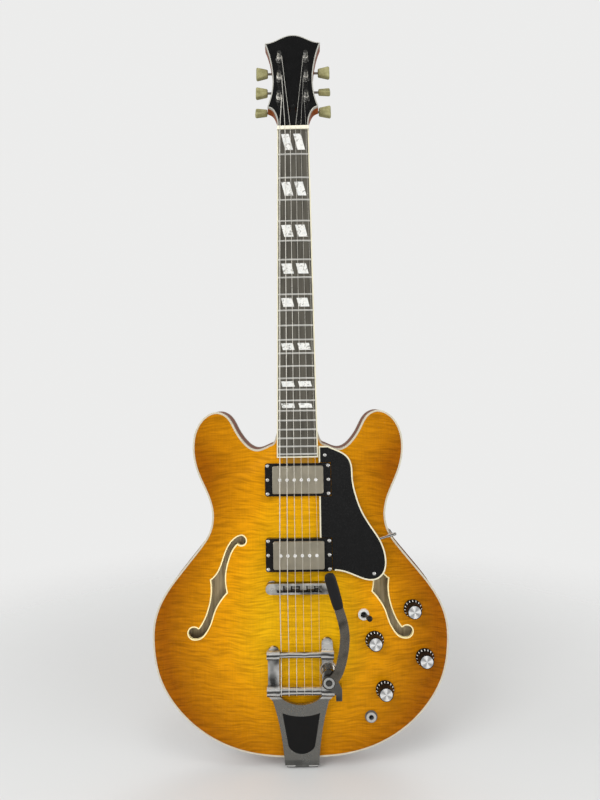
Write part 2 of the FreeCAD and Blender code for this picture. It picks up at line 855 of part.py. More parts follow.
def tuner_housing(across, up):
    """A hollow housing behind the headstock that holds the worm and its wheel."""
    side = math.copysign(1, across)
    low = up - worm_offset() - d.worm_radius - 2 * d.housing_wall
    high = low + d.housing_length
    back = d.head_thickness + d.housing_depth
    half = d.housing_width / 2
    shell = box((across - half, d.head_thickness, low), (across + half, back, high))
    edges = [edge for edge in shell.Edges if edge.BoundBox.YMax > back - d.housing_wall
             or edge.BoundBox.YLength > d.housing_wall]
    shell = shell.makeFillet(d.housing_round, edges)
    wall = d.housing_wall
    hollow = box((across - half + wall, d.head_thickness, low + wall), (across + half - wall, back - wall,
                                                                        high - wall))
    bore_radius = d.worm_radius + d.running_clearance
    shaft_up = up - worm_offset()
    bore = rod(bore_radius, (across, gear_middle(), shaft_up), (across + side * d.housing_width,
                                                                gear_middle(), shaft_up))
    return shell.cut([hollow, bore])


def tuner_bushing(across, up):
    """Flanged bush in the headstock that the post turns in."""
    inner = d.post_radius + d.running_clearance
    flange = rod(d.bushing_flange_radius, (across, -d.bushing_flange_thickness, up), (across, 0, up))
    sleeve = rod(d.bushing_radius, (across, 0, up), (across, d.head_thickness, up))
    bore = rod(inner, (across, -d.cut_overrun, up), (across, d.head_thickness + d.cut_overrun, up))
    return flange.fuse(sleeve).cut(bore)


def tuner_post(across, up):
    """String post with its worm wheel."""
    top = -d.post_rise
    shaft = rod(d.post_radius, (across, top, up), (across, gear_middle() - d.gear_thickness / 2, up))
    wheel = rod(d.gear_radius, (across, gear_middle() - d.gear_thickness / 2, up),
                (across, gear_middle() + d.gear_thickness / 2, up))
    hole = rod(d.post_radius / 3, (across - 2 * d.post_radius, -d.string_height_post, up),
               (across + 2 * d.post_radius, -d.string_height_post, up))
    return shaft.fuse(wheel).removeSplitter().cut(hole)


def tuner_key(across, up, turn):
    """Worm shaft with its keystone button, turned about the shaft."""
    side = math.copysign(1, across)
    height = gear_middle()
    shaft_up = up - worm_offset()
    inner = across - side * (d.housing_width / 2 - d.housing_wall - d.gear_gap)
    start = side * d.key_shaft_reach
    end = start + side * d.button_length
    shaft = rod(d.worm_radius, (inner, height, shaft_up), (start + side * d.button_round, height, shaft_up))
    wide, narrow, thick = d.button_width / 2, d.button_neck_width / 2, d.button_thickness / 2
    corners = [Vector(start, height - thick, shaft_up - narrow), Vector(end, height - thick, shaft_up - wide),
               Vector(end, height - thick, shaft_up + wide), Vector(start, height - thick, shaft_up + narrow)]
    button = Part.Face(Part.makePolygon(corners + corners[:1])).extrude(Vector(0, d.button_thickness, 0))
    button = button.makeFillet(d.button_round, button.Edges)
    key = button.fuse(shaft)
    key.rotate(Vector(start, height, shaft_up), Vector(1, 0, 0), turn)
    return key


# Strings


def string_radius(index):
    return getattr(d, f"string_{index + 1}_diameter") / 2


def saddle_setback(index):
    return getattr(d, f"saddle_{index + 1}_setback")


def string_across(index, spread):
    return (index / 5 - 0.5) * spread


def rounded_run(points, radius):
    """Straight runs joined by tangent arcs."""
    edges = []
    start = points[0]
    for before, corner, after in zip(points, points[1:], points[2:]):
        back = (before - corner).normalize()
        ahead = (after - corner).normalize()
        half_turn = (math.pi - back.getAngle(ahead)) / 2
        step = radius * math.tan(half_turn)
        first, last = corner + back * step, corner + ahead * step
        inward = (back + ahead).normalize()
        middle = corner + inward * (radius / math.cos(half_turn) - radius)
        edges += [Part.makeLine(start, first), Part.Arc(first, middle, last).toShape()]
        start = last
    edges.append(Part.makeLine(start, points[-1]))
    return edges


def on_circle(centre, radius, angle):
    return (centre[0] + radius * math.cos(angle), centre[1] + radius * math.sin(angle))


def string_tube(index):
    """One string from the string bar, under the tension bar and over saddle and nut, to its post."""
    radius = string_radius(index)
    across = string_across(index, d.string_spread_bridge)

    def world(pair):
        return Vector(across, -d.rim_depth / 2 - pair[1], tail.value + pair[0])

    neck, head = neck_frame(), head_frame()
    saddle = neck.multVec(Vector(across, -d.string_height_saddle, -saddle_setback(index)))
    nut_point = neck.multVec(Vector(string_across(index, d.string_spread_nut), -d.string_height_nut,
                                    d.scale_length + d.nut_length / 2))
    post_across, post_up = tuner_places()[index]
    side = math.copysign(1, post_across)
    beside = post_across - side * (d.post_radius + d.string_clearance + radius)
    post = head.multVec(Vector(beside, -d.string_height_post, post_up))
    start = (saddle.z - tail.value, -saddle.y - d.rim_depth / 2)
    roller, bar = (d.tension_bar_station, d.tension_bar_height), (d.string_bar_station, d.string_bar_height)
    roller_wrap = d.tension_bar_radius + d.string_clearance + radius
    bar_wrap = d.string_bar_radius + d.string_clearance + radius
    away = math.hypot(roller[0] - start[0], roller[1] - start[1])
    heading = math.atan2(roller[1] - start[1], roller[0] - start[0]) + math.asin(roller_wrap / away)
    between = math.hypot(bar[0] - roller[0], bar[1] - roller[1])
    crossing = math.atan2(bar[1] - roller[1],
                          bar[0] - roller[0]) - math.asin((roller_wrap + bar_wrap) / between)
    crossing %= 2 * math.pi
    heading %= 2 * math.pi
    quarter = math.pi / 2
    meet = world(on_circle(roller, roller_wrap, heading + quarter))
    middle = world(on_circle(roller, roller_wrap, (heading + crossing) / 2 + quarter))
    leave = world(on_circle(roller, roller_wrap, crossing + quarter))
    first = crossing - quarter
    last = first + math.radians(STRING_WRAP_TURN)
    bar_points = [world(on_circle(bar, bar_wrap, angle)) for angle in (first, (first + last) / 2, last)]
    edges = [Part.Arc(bar_points[2], bar_points[1], bar_points[0]).toShape(),
             Part.makeLine(bar_points[0], leave),
             Part.Arc(leave, middle, meet).toShape()] + rounded_run([meet, saddle, nut_point, post],
                                                                    d.string_bend)
    path = Part.Wire(edges)
    outward = (bar_points[2] - world(bar)).normalize()
    tangent = outward.cross(Vector(1, 0, 0))
    ring = Part.Wire([Part.makeCircle(radius, bar_points[2], tangent)])
    tube = path.makePipeShell([ring], True, False)
    print(f"string {index + 1}: {path.Length:.1f} mm, volume over section times length "
          f"{tube.Volume / (path.Length * math.pi * radius ** 2):.4f}")
    return tube


def strings():
    return Part.makeCompound([string_tube(index) for index in range(6)])


# Pickups


def pickup_places():
    return (d.neck_pickup_place, d.bridge_pickup_place)


def upright_box(width, length, station, top, bottom, corner):
    """A box in the neck's frame with rounded corners seen from the front."""
    solid = box((-width / 2, top, station - length / 2), (width / 2, bottom, station + length / 2))
    edges = [edge for edge in solid.Edges if edge.BoundBox.YLength > (bottom - top) / 2]
    return solid.makeFillet(corner, edges)


def pickup_ring(station, blank):
    """Frame round a pickup, its foot cut to the arch."""
    bottom = d.ring_top + d.ring_length
    outer = upright_box(d.ring_width, d.ring_length, station, d.ring_top, bottom, d.ring_round)
    gap = 2 * d.pickup_clearance
    inner = upright_box(d.cover_width + gap, d.cover_length + gap, station, d.ring_top - d.cut_overrun,
                        bottom + d.cut_overrun, d.cover_round)
    cut_to_arch = moved(outer.cut(inner), neck_frame()).cut(blank)
    return min(cut_to_arch.Solids, key=lambda solid: solid.BoundBox.YMin)


def pickup_cavity(station):
    """Opening under a pickup through plate and block."""
    gap = 2 * d.pickup_clearance
    return upright_box(d.cover_width + gap, d.cover_length + gap, station, -d.cut_overrun,
                       d.pickup_cavity_depth + d.cut_overrun, d.cover_round)


def pickup_cover(station):
    bottom = -d.cover_top + d.cover_height
    outer = upright_box(d.cover_width, d.cover_length, station, -d.cover_top, bottom, d.cover_round)
    top_edges = [edge for edge in outer.Edges if edge.BoundBox.YMax < -d.cover_top + d.cover_wall]
    outer = outer.makeFillet(d.cover_wall, top_edges)
    wall = 2 * d.cover_wall
    inner = box((-d.cover_width / 2 + d.cover_wall, -d.cover_top + d.cover_wall,
                 station - d.cover_length / 2 + d.cover_wall),
                (d.cover_width / 2 - d.cover_wall, bottom + d.cut_overrun,
                 station + d.cover_length / 2 - d.cover_wall))
    poles = [rod(d.pole_radius, (across, -d.cover_top - d.cut_overrun, station), (across,
                                                                                  wall + d.cut_overrun,
                                                                                  station))
             for across in pole_places()]
    return outer.cut([inner] + poles)


def pole_places():
    return [(index - 2.5) * d.pole_pitch for index in range(6)]


def pickup_coil(station):
    """Bobbins, magnet and base plate under a cover, with the poles' threads."""
    inset = d.cover_wall + d.coil_clearance
    top = -d.cover_top + d.cover_wall + d.coil_clearance
    bottom = -d.cover_top + d.cover_height
    body = box((-d.cover_width / 2 + inset, top, station - d.cover_length / 2 + inset),
               (d.cover_width / 2 - inset, bottom, station + d.cover_length / 2 - inset))
    base = upright_box(d.cover_width, d.cover_length, station, bottom, bottom + d.cover_wall * 2,
                       d.cover_round)
    poles = [rod(d.pole_radius, (across, -d.cut_overrun, station), (across, bottom - d.cover_wall, station))
             for across in pole_places()]
    return body.fuse(base).removeSplitter().cut(poles)


def pole_screws():
    solids = []
    for station in pickup_places():
        for across in pole_places():
            solids.append(rod(d.pole_radius, (across, -d.cover_top - d.pole_rise, station),
                              (across, -d.cover_top + d.cover_height - d.cover_wall, station)))
    return Part.makeCompound(solids)


def screw(head_place, direction, shank):
    """A dome-headed screw: head out, shank in."""
    direction = Vector(*direction).normalize()
    head = Vector(*head_place)
    radius, height = d.screw_head_radius, d.screw_head_height
    dome_radius = (radius * radius + height * height) / (2 * height)
    centre = head + direction * (dome_radius - height)
    ball = Part.makeSphere(dome_radius, centre)
    keep_zone = Part.makeCylinder(radius, height, head, -direction)
    stem = Part.makeCylinder(d.screw_shank_radius, shank, head, direction)
    return ball.common(keep_zone).fuse(stem)


def ring_screws():
    """Corner screws of both rings and the two height screws of each."""
    solids = []
    inset = d.ring_screw_inset
    for station in pickup_places():
        for across in (-d.ring_width / 2 + inset, d.ring_width / 2 - inset):
            for up in (-d.ring_length / 2 + inset, 0, d.ring_length / 2 - inset):
                solids.append(screw((across, d.ring_top, station + up), (0, 1, 0), d.screw_shank_length))
    return moved(Part.makeCompound(solids), neck_frame())


# Bridge


def bridge_parts():
    """The bridge bar, its saddles, and the posts with their thumbwheels, in place on the top."""
    station = tail + s.saddle_station - s.bridge_setback
    low = -(s.rim_depth / 2 + s.bridge_bottom)
    bar = primitive("Box", "bridge_bar", (-s.bridge_width / 2, low - s.bridge_height,
                                          station - s.bridge_length / 2),
                    Length=s.bridge_width, Width=s.bridge_height, Height=s.bridge_length)
    doc.recompute()
    tall = [n for n, edge in enumerate(bar.Shape.Edges, start=1)
            if edge.BoundBox.YLength > d.bridge_height / 2]
    ends = doc.addObject("Part::Fillet", "bridge_ends")
    ends.Base = bar
    ends.Edges = [(n, d.bridge_round, d.bridge_round) for n in tall]
    slot = primitive("Box", "bridge_slot",
                     (-(s.string_spread_bridge + s.saddle_width) / 2 - s.running_clearance,
                      low - s.bridge_height - s.cut_overrun,
                      station - s.saddle_length / 2 - s.running_clearance),
                     Length=s.string_spread_bridge + s.saddle_width + s.running_clearance * 2,
                     Width=s.bridge_slot_depth + s.cut_overrun,
                     Height=s.saddle_length + s.running_clearance * 2)
    holes = [primitive("Cylinder",
                       f"bridge_hole_{n}", (sign * s.bridge_post_spread / 2, low + s.cut_overrun, station),
                       "front", Radius=s.bridge_post_radius + s.running_clearance,
                       Height=s.bridge_height + s.cut_overrun * 2)
             for n, sign in enumerate((-1, 1))]
    keep(cut("bridge_body", ends, joined("bridge_cuts", "MultiFuse", [slot] + holes)), "bridge_body")
    stems, wheels = [], []
    for n, sign in enumerate((-1, 1)):
        across = sign * s.bridge_post_spread / 2
        stems.append(primitive("Cylinder",
                               f"bridge_stem_{n}", (across, low + s.bridge_bottom + s.bridge_stud_depth,
                                                    station),
                               "front", Radius=s.bridge_post_radius,
                               Height=s.bridge_bottom + s.bridge_stud_depth + s.bridge_height
                               - s.running_clearance * 4))
        wheels.append(primitive("Cylinder", f"thumbwheel_{n}", (across, low + s.thumbwheel_height, station),
                                "front",
                                Radius=s.thumbwheel_radius, Height=s.thumbwheel_height))
    keep(joined("bridge_posts", "MultiFuse", stems + wheels), "bridge_posts")
    saddle_floor = low - s.bridge_height + s.bridge_slot_depth
    wedges = []
    for index in range(6):
        across = (index / 5 - 0.5) * s.string_spread_bridge
        wedges.append(saddle_wedge(index, across, saddle_floor, station))
    keep(joined("bridge_saddles", "Compound", wedges), "bridge_saddles")


def saddle_wedge(index, across, floor, station):
    """One saddle: a ridge across the bridge whose top carries its string."""
    name = f"saddle_{index + 1}"
    half = s.saddle_length / 2
    peak = s.bridge_setback - getattr(s, f"saddle_{index + 1}_setback")
    points = [(-half, 0), (half, 0), (half, -s.saddle_height * 0.45), (peak + s.saddle_length * 0.06,
                                                                       saddle_peak(index)),
              (peak - s.saddle_length * 0.06, saddle_peak(index)), (-half, -s.saddle_height * 0.45)]
    body = doc.addObject("PartDesign::Body", name)
    sketch = bound_profile(body, name + "_profile", "YZ_Plane", [(up, along) for along, up in points])
    pad = body.newObject("PartDesign::Pad", name + "_pad")
    pad.Profile = sketch
    pad.Midplane = True
    bind(pad, Length=s.saddle_width)
    body.Tip = pad
    place(body, (across, floor, station))
    return body


def saddle_peak(index):
    """Top of a saddle under its string, measured from the saddle's floor."""
    frame = neck_frame()
    point = frame.multVec(Vector(0, -d.string_height_saddle, -saddle_setback(index)))
    floor = -(d.rim_depth / 2 + d.bridge_bottom) - d.bridge_height + d.bridge_slot_depth
    radius = string_radius(index)
    return point.y + radius - floor + d.string_clearance / 4


# Pickguard


def guard_wire():
    """Outline of the pickguard in the neck's frame, notched round both rings."""
    edge = [Vector(across * d.guard_width, 0, up * d.guard_length) for across, up in GUARD_SHARES]
    gap = d.guard_gap
    inner = d.guard_inner_edge
    clear = d.ring_width / 2 + gap
    low_high = d.bridge_pickup_place + d.ring_length / 2 + gap
    high_low = d.neck_pickup_place - d.ring_length / 2 - gap
    high_high = d.neck_pickup_place + d.ring_length / 2 + gap
    edge[-1].x = clear
    corners = [edge[-1], Vector(clear, 0, low_high), Vector(inner, 0, low_high),
               Vector(inner, 0, high_low), Vector(clear, 0, high_low), Vector(clear, 0, high_high),
               Vector(inner, 0, high_high), Vector(inner, 0, edge[0].z)]
    straights = [Part.makeLine(a, b) for a, b in zip(corners, corners[1:])]
    first = [Part.makeLine(corners[-1], edge[0])]
    return Part.Wire(Part.__sortEdges__([smooth_edge(edge)] + straights + first))


def guard_parts():
    """Black plate and the pale edge round its free sides."""
    wire = guard_wire()
    whole = Part.Face(wire).extrude(Vector(0, d.guard_thickness, 0))
    core = Part.Face(drawn_in(wire, d.guard_binding)).extrude(Vector(0, d.guard_thickness, 0))
    band = whole.cut(core)
    reach = d.guard_binding * 1.5
    for station in pickup_places():
        half = d.ring_length / 2 + d.guard_gap
        band = band.cut(box((d.guard_inner_edge + d.guard_binding, -d.cut_overrun, station - half - reach),
                            (d.ring_width / 2 + d.guard_gap + reach, d.guard_thickness + d.cut_overrun,
                             station + half + reach)))
    plate = whole.cut(band)
    frame = neck_frame().multiply(Placement(Vector(0, d.guard_top, 0), Rotation()))
    return moved(plate, frame), moved(band, frame)


# Tailpiece


def front_point(across, station, height):
    return Vector(across, -d.rim_depth / 2 - height, tail.value + station)


def frame_side():
    """Side view of the tailpiece frame: feet, arms, sloping plate and tail."""
    top = [(d.foot_right_station, d.frame_foot_height), (d.string_bar_station, d.frame_top_height),
           (d.frame_top_station, d.frame_top_height), (0, d.frame_tail_height),
           (-d.hinge_axis_station, -d.hinge_axis_height + d.hinge_barrel_radius)]
    thick = d.frame_thickness
    bottom = [(-d.hinge_axis_station, -d.hinge_axis_height), (-d.hinge_axis_station * 0.35,
                                                              -d.hinge_axis_height * 0.4),
              (0, d.frame_tail_height - thick), (d.frame_top_station, d.frame_top_height - thick),
              (d.foot_right_station, d.frame_foot_height - thick)]
    corners = [front_point(-d.arm_outer * 1.5, station, height) for station, height in top + bottom]
    return Part.Face(Part.makePolygon(corners + corners[:1])).extrude(Vector(d.arm_outer * 3, 0, 0))


def foot_station(side):
    return d.foot_right_station if side > 0 else d.foot_left_station


def frame_plan():
    """Front view of the frame: two arms, shoulders, and a plate that narrows to the tail."""
    depth = -d.rim_depth - d.arch_height - d.frame_top_height
    shoulder = d.frame_top_station
    tail_half = d.frame_tail_width / 2
    bow = d.frame_top_station * CRESCENT_DEPTH_SHARE

    def point(across, station):
        return Vector(across, depth, tail.value + station)

    edges = [Part.Arc(point(-d.arm_inner, shoulder + bow / 2), point(0, shoulder - bow / 2),
                      point(d.arm_inner, shoulder + bow / 2)).toShape()]
    for side in (1, -1):
        inner, outer, hip = side * d.arm_inner, side * d.arm_outer, side * d.frame_shoulder_width / 2
        foot = foot_station(side)
        flank = [point(hip, shoulder),
                 point(side * (tail_half + (d.frame_shoulder_width / 2 - tail_half) * 0.42), shoulder * 0.58),
                 point(side * tail_half * 1.04, shoulder * 0.1),
                 point(side * tail_half, -d.hinge_axis_station)]
        edges += [Part.makeLine(point(inner, shoulder + bow / 2), point(inner, foot)),
                  Part.makeLine(point(inner, foot), point(outer, foot)),
                  Part.makeLine(point(outer, foot), point(outer, shoulder + bow / 2)),
                  Part.makeLine(point(outer, shoulder + bow / 2), flank[0]), smooth_edge(flank)]
    edges.append(Part.makeLine(point(tail_half, -d.hinge_axis_station),
                               point(-tail_half, -d.hinge_axis_station)))
    return closed_face(edges).extrude(Vector(0, d.rim_depth * 2, 0))


def panel_prism(inset):
    """The sunk field of the frame's plate, seen from the front."""
    depth = -d.rim_depth - d.arch_height - d.frame_top_height
    top, low = d.frame_top_station * 0.8, d.frame_top_station * 0.106
    wide, narrow = d.frame_shoulder_width * 0.34, d.frame_tail_width * 0.39

    def point(across, station):
        return Vector(across, depth, tail.value + station)

    edges = [Part.Arc(point(-wide, top), point(0, top * 0.925), point(wide, top)).toShape(),
             Part.makeLine(point(wide, top), point(narrow, low * 2.3)),
             Part.Arc(point(narrow, low * 2.3), point(0, low), point(-narrow, low * 2.3)).toShape(),
             Part.makeLine(point(-narrow, low * 2.3), point(-wide, top))]
    face = closed_face(edges)
    if inset:
        face = Part.Face(drawn_in(face.OuterWire, inset))
    return face.extrude(Vector(0, d.rim_depth * 2, 0))


def sunk_layer(depth_low, depth_high):
    """A layer of the frame's sloping plate between two depths under its face."""
    start = front_point(-d.arm_outer, d.frame_top_station, d.frame_top_height - depth_low)
    end = front_point(-d.arm_outer, 0, d.frame_tail_height - depth_low)
    step = Vector(0, depth_high - depth_low, 0)
    face = Part.Face(Part.makePolygon([start, end, end + step, start + step, start]))
    return face.extrude(Vector(2 * d.arm_outer, 0, 0))


def bar_rod(radius, start, end, station, height):
    """A cylinder across the body at a bar's axis."""
    first, last = front_point(start, station, height), front_point(end, station, height)
    return rod(radius, first, last)


def tailpiece_frame(blank):
    """Cast frame with bearing rings, feet, spring cup and hinge knuckle."""
    frame = frame_side().common(frame_plan())
    solids, cuts = [], []
    bars = ((d.tension_bar_station, d.tension_bar_height, d.tension_ring_radius, d.tension_bar_radius),
            (d.string_bar_station, d.string_bar_height, d.string_ring_radius, d.string_bar_radius))
    for station, height, ring, bar in bars:
        for side in (1, -1):
            inner, outer = side * (d.arm_inner - d.ring_reach), side * (d.arm_outer + d.ring_reach)
            solids.append(bar_rod(ring, inner, outer, station, height))
            base = front_point(0, station, height)
            half = ring * 0.8
            solids.append(box((min(inner, outer), base.y, base.z - half), (max(inner, outer), base.y + ring,
                                                                           base.z + half)))
        closed_end = 0 if bar == d.string_bar_radius else d.ring_reach
        right_end = d.arm_outer + d.ring_reach + d.cut_overrun if not closed_end else d.arm_outer
        cuts.append(bar_rod(bar + d.running_clearance, -d.arm_outer, right_end, station, height))
    for side in (1, -1):
        centre = front_point(side * (d.arm_inner + d.arm_outer) / 2, foot_station(side), 0)
        radius = (d.arm_outer - d.arm_inner) / 2
        solids.append(rod(radius, centre, centre + FRONT * (d.frame_foot_height - d.frame_thickness * 0.4)))
    cup = front_point(d.spring_x, d.spring_station, cup_floor() - d.frame_thickness * 0.8)
    solids.append(rod(d.cup_radius, cup, cup + FRONT * (d.frame_thickness * 0.8 + d.cup_height)))
    hollow = front_point(d.spring_x, d.spring_station, cup_floor())
    cuts.append(rod(d.cup_radius - d.spring_wire_radius * 0.9, hollow,
                    hollow + FRONT * (d.cup_height + d.cut_overrun)))
    knuckle_half = d.hinge_knuckle_inner - d.running_clearance
    solids.append(bar_rod(d.hinge_barrel_radius, -knuckle_half, knuckle_half, -d.hinge_axis_station,
                          -d.hinge_axis_height))
    cuts.append(bar_rod(d.hinge_pin_radius, -d.arm_outer, d.arm_outer, -d.hinge_axis_station,
                        -d.hinge_axis_height))
    for side in (1, -1):
        cuts.append(bar_rod(d.hinge_barrel_radius + d.handle_gap, side * d.hinge_knuckle_inner,
                            side * d.frame_tail_width,
                            -d.hinge_axis_station, -d.hinge_axis_height))
    cuts.append(panel_prism(0).common(sunk_layer(-d.cut_overrun, d.panel_depth)))
    return frame.fuse(solids).removeSplitter().cut(cuts + [blank])


def cup_floor():
    return d.frame_top_height - (d.frame_top_height - d.frame_foot_height) * CUP_FLOOR_SHARE


def panel():
    return panel_prism(d.panel_gap).common(sunk_layer(d.panel_gap, d.panel_depth))


def tail_hinge():
    """Hinge plate on the tail end with its outer knuckles, and the pin through all of them."""
    thick = d.hinge_plate_thickness
    half = d.hinge_plate_width / 2
    plate = box((-half, -d.rim_depth / 2 + d.cut_overrun, tail.value - thick), (half,
                                                                                d.rim_depth / 2
                                                                                - d.cut_overrun, tail.value))
    edges = [edge for edge in plate.Edges if edge.BoundBox.ZLength > thick / 2 and edge.BoundBox.YMin > 0]
    plate = plate.makeFillet(d.rim_depth / 5, edges)
    solids = []
    for side in (1, -1):
        solids.append(bar_rod(d.hinge_barrel_radius, side * (d.hinge_knuckle_inner + d.running_clearance),
                              side * d.hinge_knuckle_outer, -d.hinge_axis_station, -d.hinge_axis_height))
        low = front_point(side * d.hinge_knuckle_inner, -d.hinge_axis_station, -d.hinge_axis_height)
        across = sorted((side * (d.hinge_knuckle_inner + d.running_clearance), side * d.hinge_knuckle_outer))
        solids.append(box((across[0], low.y, low.z), (across[1], low.y + d.hinge_barrel_radius, tail.value)))
    leaf = plate.fuse(solids).removeSplitter()
    pin = bar_rod(d.hinge_pin_radius, -d.hinge_knuckle_outer, d.hinge_knuckle_outer, -d.hinge_axis_station,
                  -d.hinge_axis_height)
    hole = rod(d.screw_shank_radius, (0, 0, 0), (0, 0, tail.value))
    return Part.makeCompound([leaf.cut([pin, hole] + tail_screws()), pin])


def tail_screws():
    back = d.rim_depth * 0.28
    across = d.hinge_plate_width * 0.3
    low = tail.value - d.hinge_plate_thickness
    return [screw((side * across, back, low), (0, 0, 1), d.screw_shank_length) for side in (-1, 1)]


def string_bar():
    """Rocking bar with its string pins, ball ends and the clamp block that carries the handle."""
    station, height = d.string_bar_station, d.string_bar_height
    bar = bar_rod(d.string_bar_radius, -d.arm_outer + d.handle_gap, d.bar_block_outer, station, height)
    solids = []
    for index in range(6):
        across = string_across(index, d.string_spread_bridge)
        direction = math.radians(PIN_DIRECTION)
        outward = Vector(0, -math.sin(direction), math.cos(direction))
        centre = front_point(across, station, height)
        solids.append(rod(d.pin_radius, centre, centre + outward * (d.string_bar_radius + d.pin_length)))
        ball = centre + outward * (d.string_bar_radius + d.ball_radius * 0.8)
        side = Vector(d.ball_radius * 0.8, 0, 0)
        solids.append(rod(d.ball_radius, ball - side, ball + side))
    low = front_point(d.bar_block_inner, station - d.bar_block_length * 0.55,
                      height - d.bar_block_height * 0.5)
    high = front_point(d.bar_block_outer, station + d.bar_block_length * 0.45,
                       height + d.bar_block_height * 0.5 + d.rocker_thickness)
    block = box((low.x, high.y, low.z), (high.x, low.y, high.z))
    block = block.makeFillet(d.rocker_thickness * 0.6, [edge
                                                        for edge in block.Edges
                                                        if edge.BoundBox.XLength > d.rocker_thickness])
    return bar.fuse(solids + [block, rocker_plate(), pivot_stud()]).removeSplitter()


def rocker_low():
    return d.string_bar_height + d.bar_block_height * 0.5


def rocker_plate():
    """Flat arm from the clamp block over the bearing to the pivot and the spring."""
    base = rocker_low()
    half = d.rocker_width / 2
    points = [front_point(d.bar_block_outer, d.string_bar_station + d.bar_block_length * 0.45, base),
              front_point(d.bar_block_outer, d.string_bar_station - half * 0.3, base),
              front_point(d.pivot_x - half * 0.6, d.string_bar_station + half, base),
              front_point(d.pivot_x - half, d.spring_station, base),
              front_point(d.pivot_x + half, d.spring_station, base)]
    plate = Part.Face(Part.makePolygon(points + points[:1])).extrude(FRONT * d.rocker_thickness)
    centre = front_point(d.spring_x, d.spring_station, base)
    return plate.fuse(rod(half, centre, centre + FRONT * d.rocker_thickness))


def pivot_stud():
    start = front_point(d.pivot_x, d.pivot_station, rocker_low())
    top = rocker_low() + d.rocker_thickness + d.handle_gap * 4 + d.handle_thickness + d.pivot_nut_height
    nut_low = front_point(d.pivot_x, d.pivot_station, top - d.pivot_nut_height)
    dome = Part.makeSphere(d.pivot_nut_radius, nut_low).common(
        rod(d.pivot_nut_radius, nut_low, nut_low + FRONT * d.pivot_nut_radius))
    return rod(d.pivot_stud_radius, start, nut_low).fuse(dome)


def handle_path():
    start = front_point(d.pivot_x, d.pivot_station, 0)
    return [Vector(start.x + across * d.handle_reach, 0, start.z + up * d.handle_reach)
            for across, up in HANDLE_SHARES]


def handle_strip(path, width, thickness, base, rise):
    """A flat bar that follows a curve in front view and climbs off the body in side view."""
    edge = smooth_edge(path)
    count = 7
    sections = []
    for index in range(count):
        at = edge.FirstParameter + (edge.LastParameter - edge.FirstParameter) * index / (count - 1)
        point, along = edge.valueAt(at), edge.tangentAt(at)
        across = Vector(along.z, 0, -along.x).normalize() * (width / 2)
        climb = (point.z - path[0].z) / (path[-1].z - path[0].z)
        low = -d.rim_depth / 2 - base - rise * climb
        corners = [Vector(point.x, low, point.z) + across, Vector(point.x, low, point.z) - across]
        corners += [corner + FRONT * thickness for corner in reversed(corners)]
        sections.append(Part.makePolygon(corners + corners[:1]))
    return Part.makeLoft(sections, True, False)


def handle_base():
    return rocker_low() + d.rocker_thickness + d.handle_gap


def handle_bar():
    path = handle_path()
    bar = handle_strip(path, d.handle_width, d.handle_thickness, handle_base(), d.handle_rise)
    low = front_point(d.pivot_x, d.pivot_station, handle_base())
    eye = rod(d.handle_eye_radius, low, low + FRONT * d.handle_thickness)
    hole = rod(d.pivot_stud_radius + d.running_clearance, low - FRONT * d.cut_overrun,
               low + FRONT * (d.handle_thickness + d.cut_overrun))
    return bar.fuse(eye).removeSplitter().cut(hole)


def handle_grip():
    """Long rounded grip on the end of the handle."""
    path = handle_path()
    end = path[-1]
    ahead = Vector(end.x - path[-2].x, 0, end.z - path[-2].z).normalize()
    base = handle_base() + d.handle_rise
    climb = d.handle_rise / (path[-1].z - path[0].z)
    along = Vector(ahead.x, -climb, ahead.z).normalize()
    start = Vector(end.x, -d.rim_depth / 2 - base - d.handle_thickness / 2, end.z) - along * d.grip_thickness
    across = Vector(ahead.z, 0, -ahead.x).normalize()
    out = across.cross(along).normalize()
    sections = []
    for share, width, thick in GRIP_SHARES:
        centre = start + along * (share * d.grip_length)
        ring = Part.Ellipse(Vector(0, 0, 0), width * d.grip_width / 2, thick * d.grip_thickness / 2).toShape()
        frame = FreeCAD.Matrix(across.x, out.x, along.x, centre.x, across.y, out.y, along.y, centre.y,
                               across.z, out.z, along.z, centre.z, 0, 0, 0, 1)
        sections.append(Part.Wire([ring.transformGeometry(frame)]))
    return Part.makeLoft(sections, True, True)


# Spring


def biarc(start, start_way, end, end_way):
    """Two arcs that join two points with given directions."""
    chord = end - start
    ways = start_way + end_way
    spread = 2 * (1 - start_way.dot(end_way))
    along = chord.dot(ways)
    reach = (-along + math.sqrt(along * along + spread * chord.dot(chord))) / spread
    first, last = start + start_way * reach, end - end_way * reach
    joint = (first + last) * 0.5
    arcs = []
    for a, corner, b in ((start, first, joint), (joint, last, end)):
        middle = (a + b) * 0.5
        out = corner - middle
        half_chord = (b - a).Length / 2
        turn = math.atan2(out.Length, half_chord)
        sagitta = half_chord * math.tan(turn / 2)
        arcs.append(Part.Arc(a, middle + out.normalize() * sagitta, b).toShape())
    return arcs


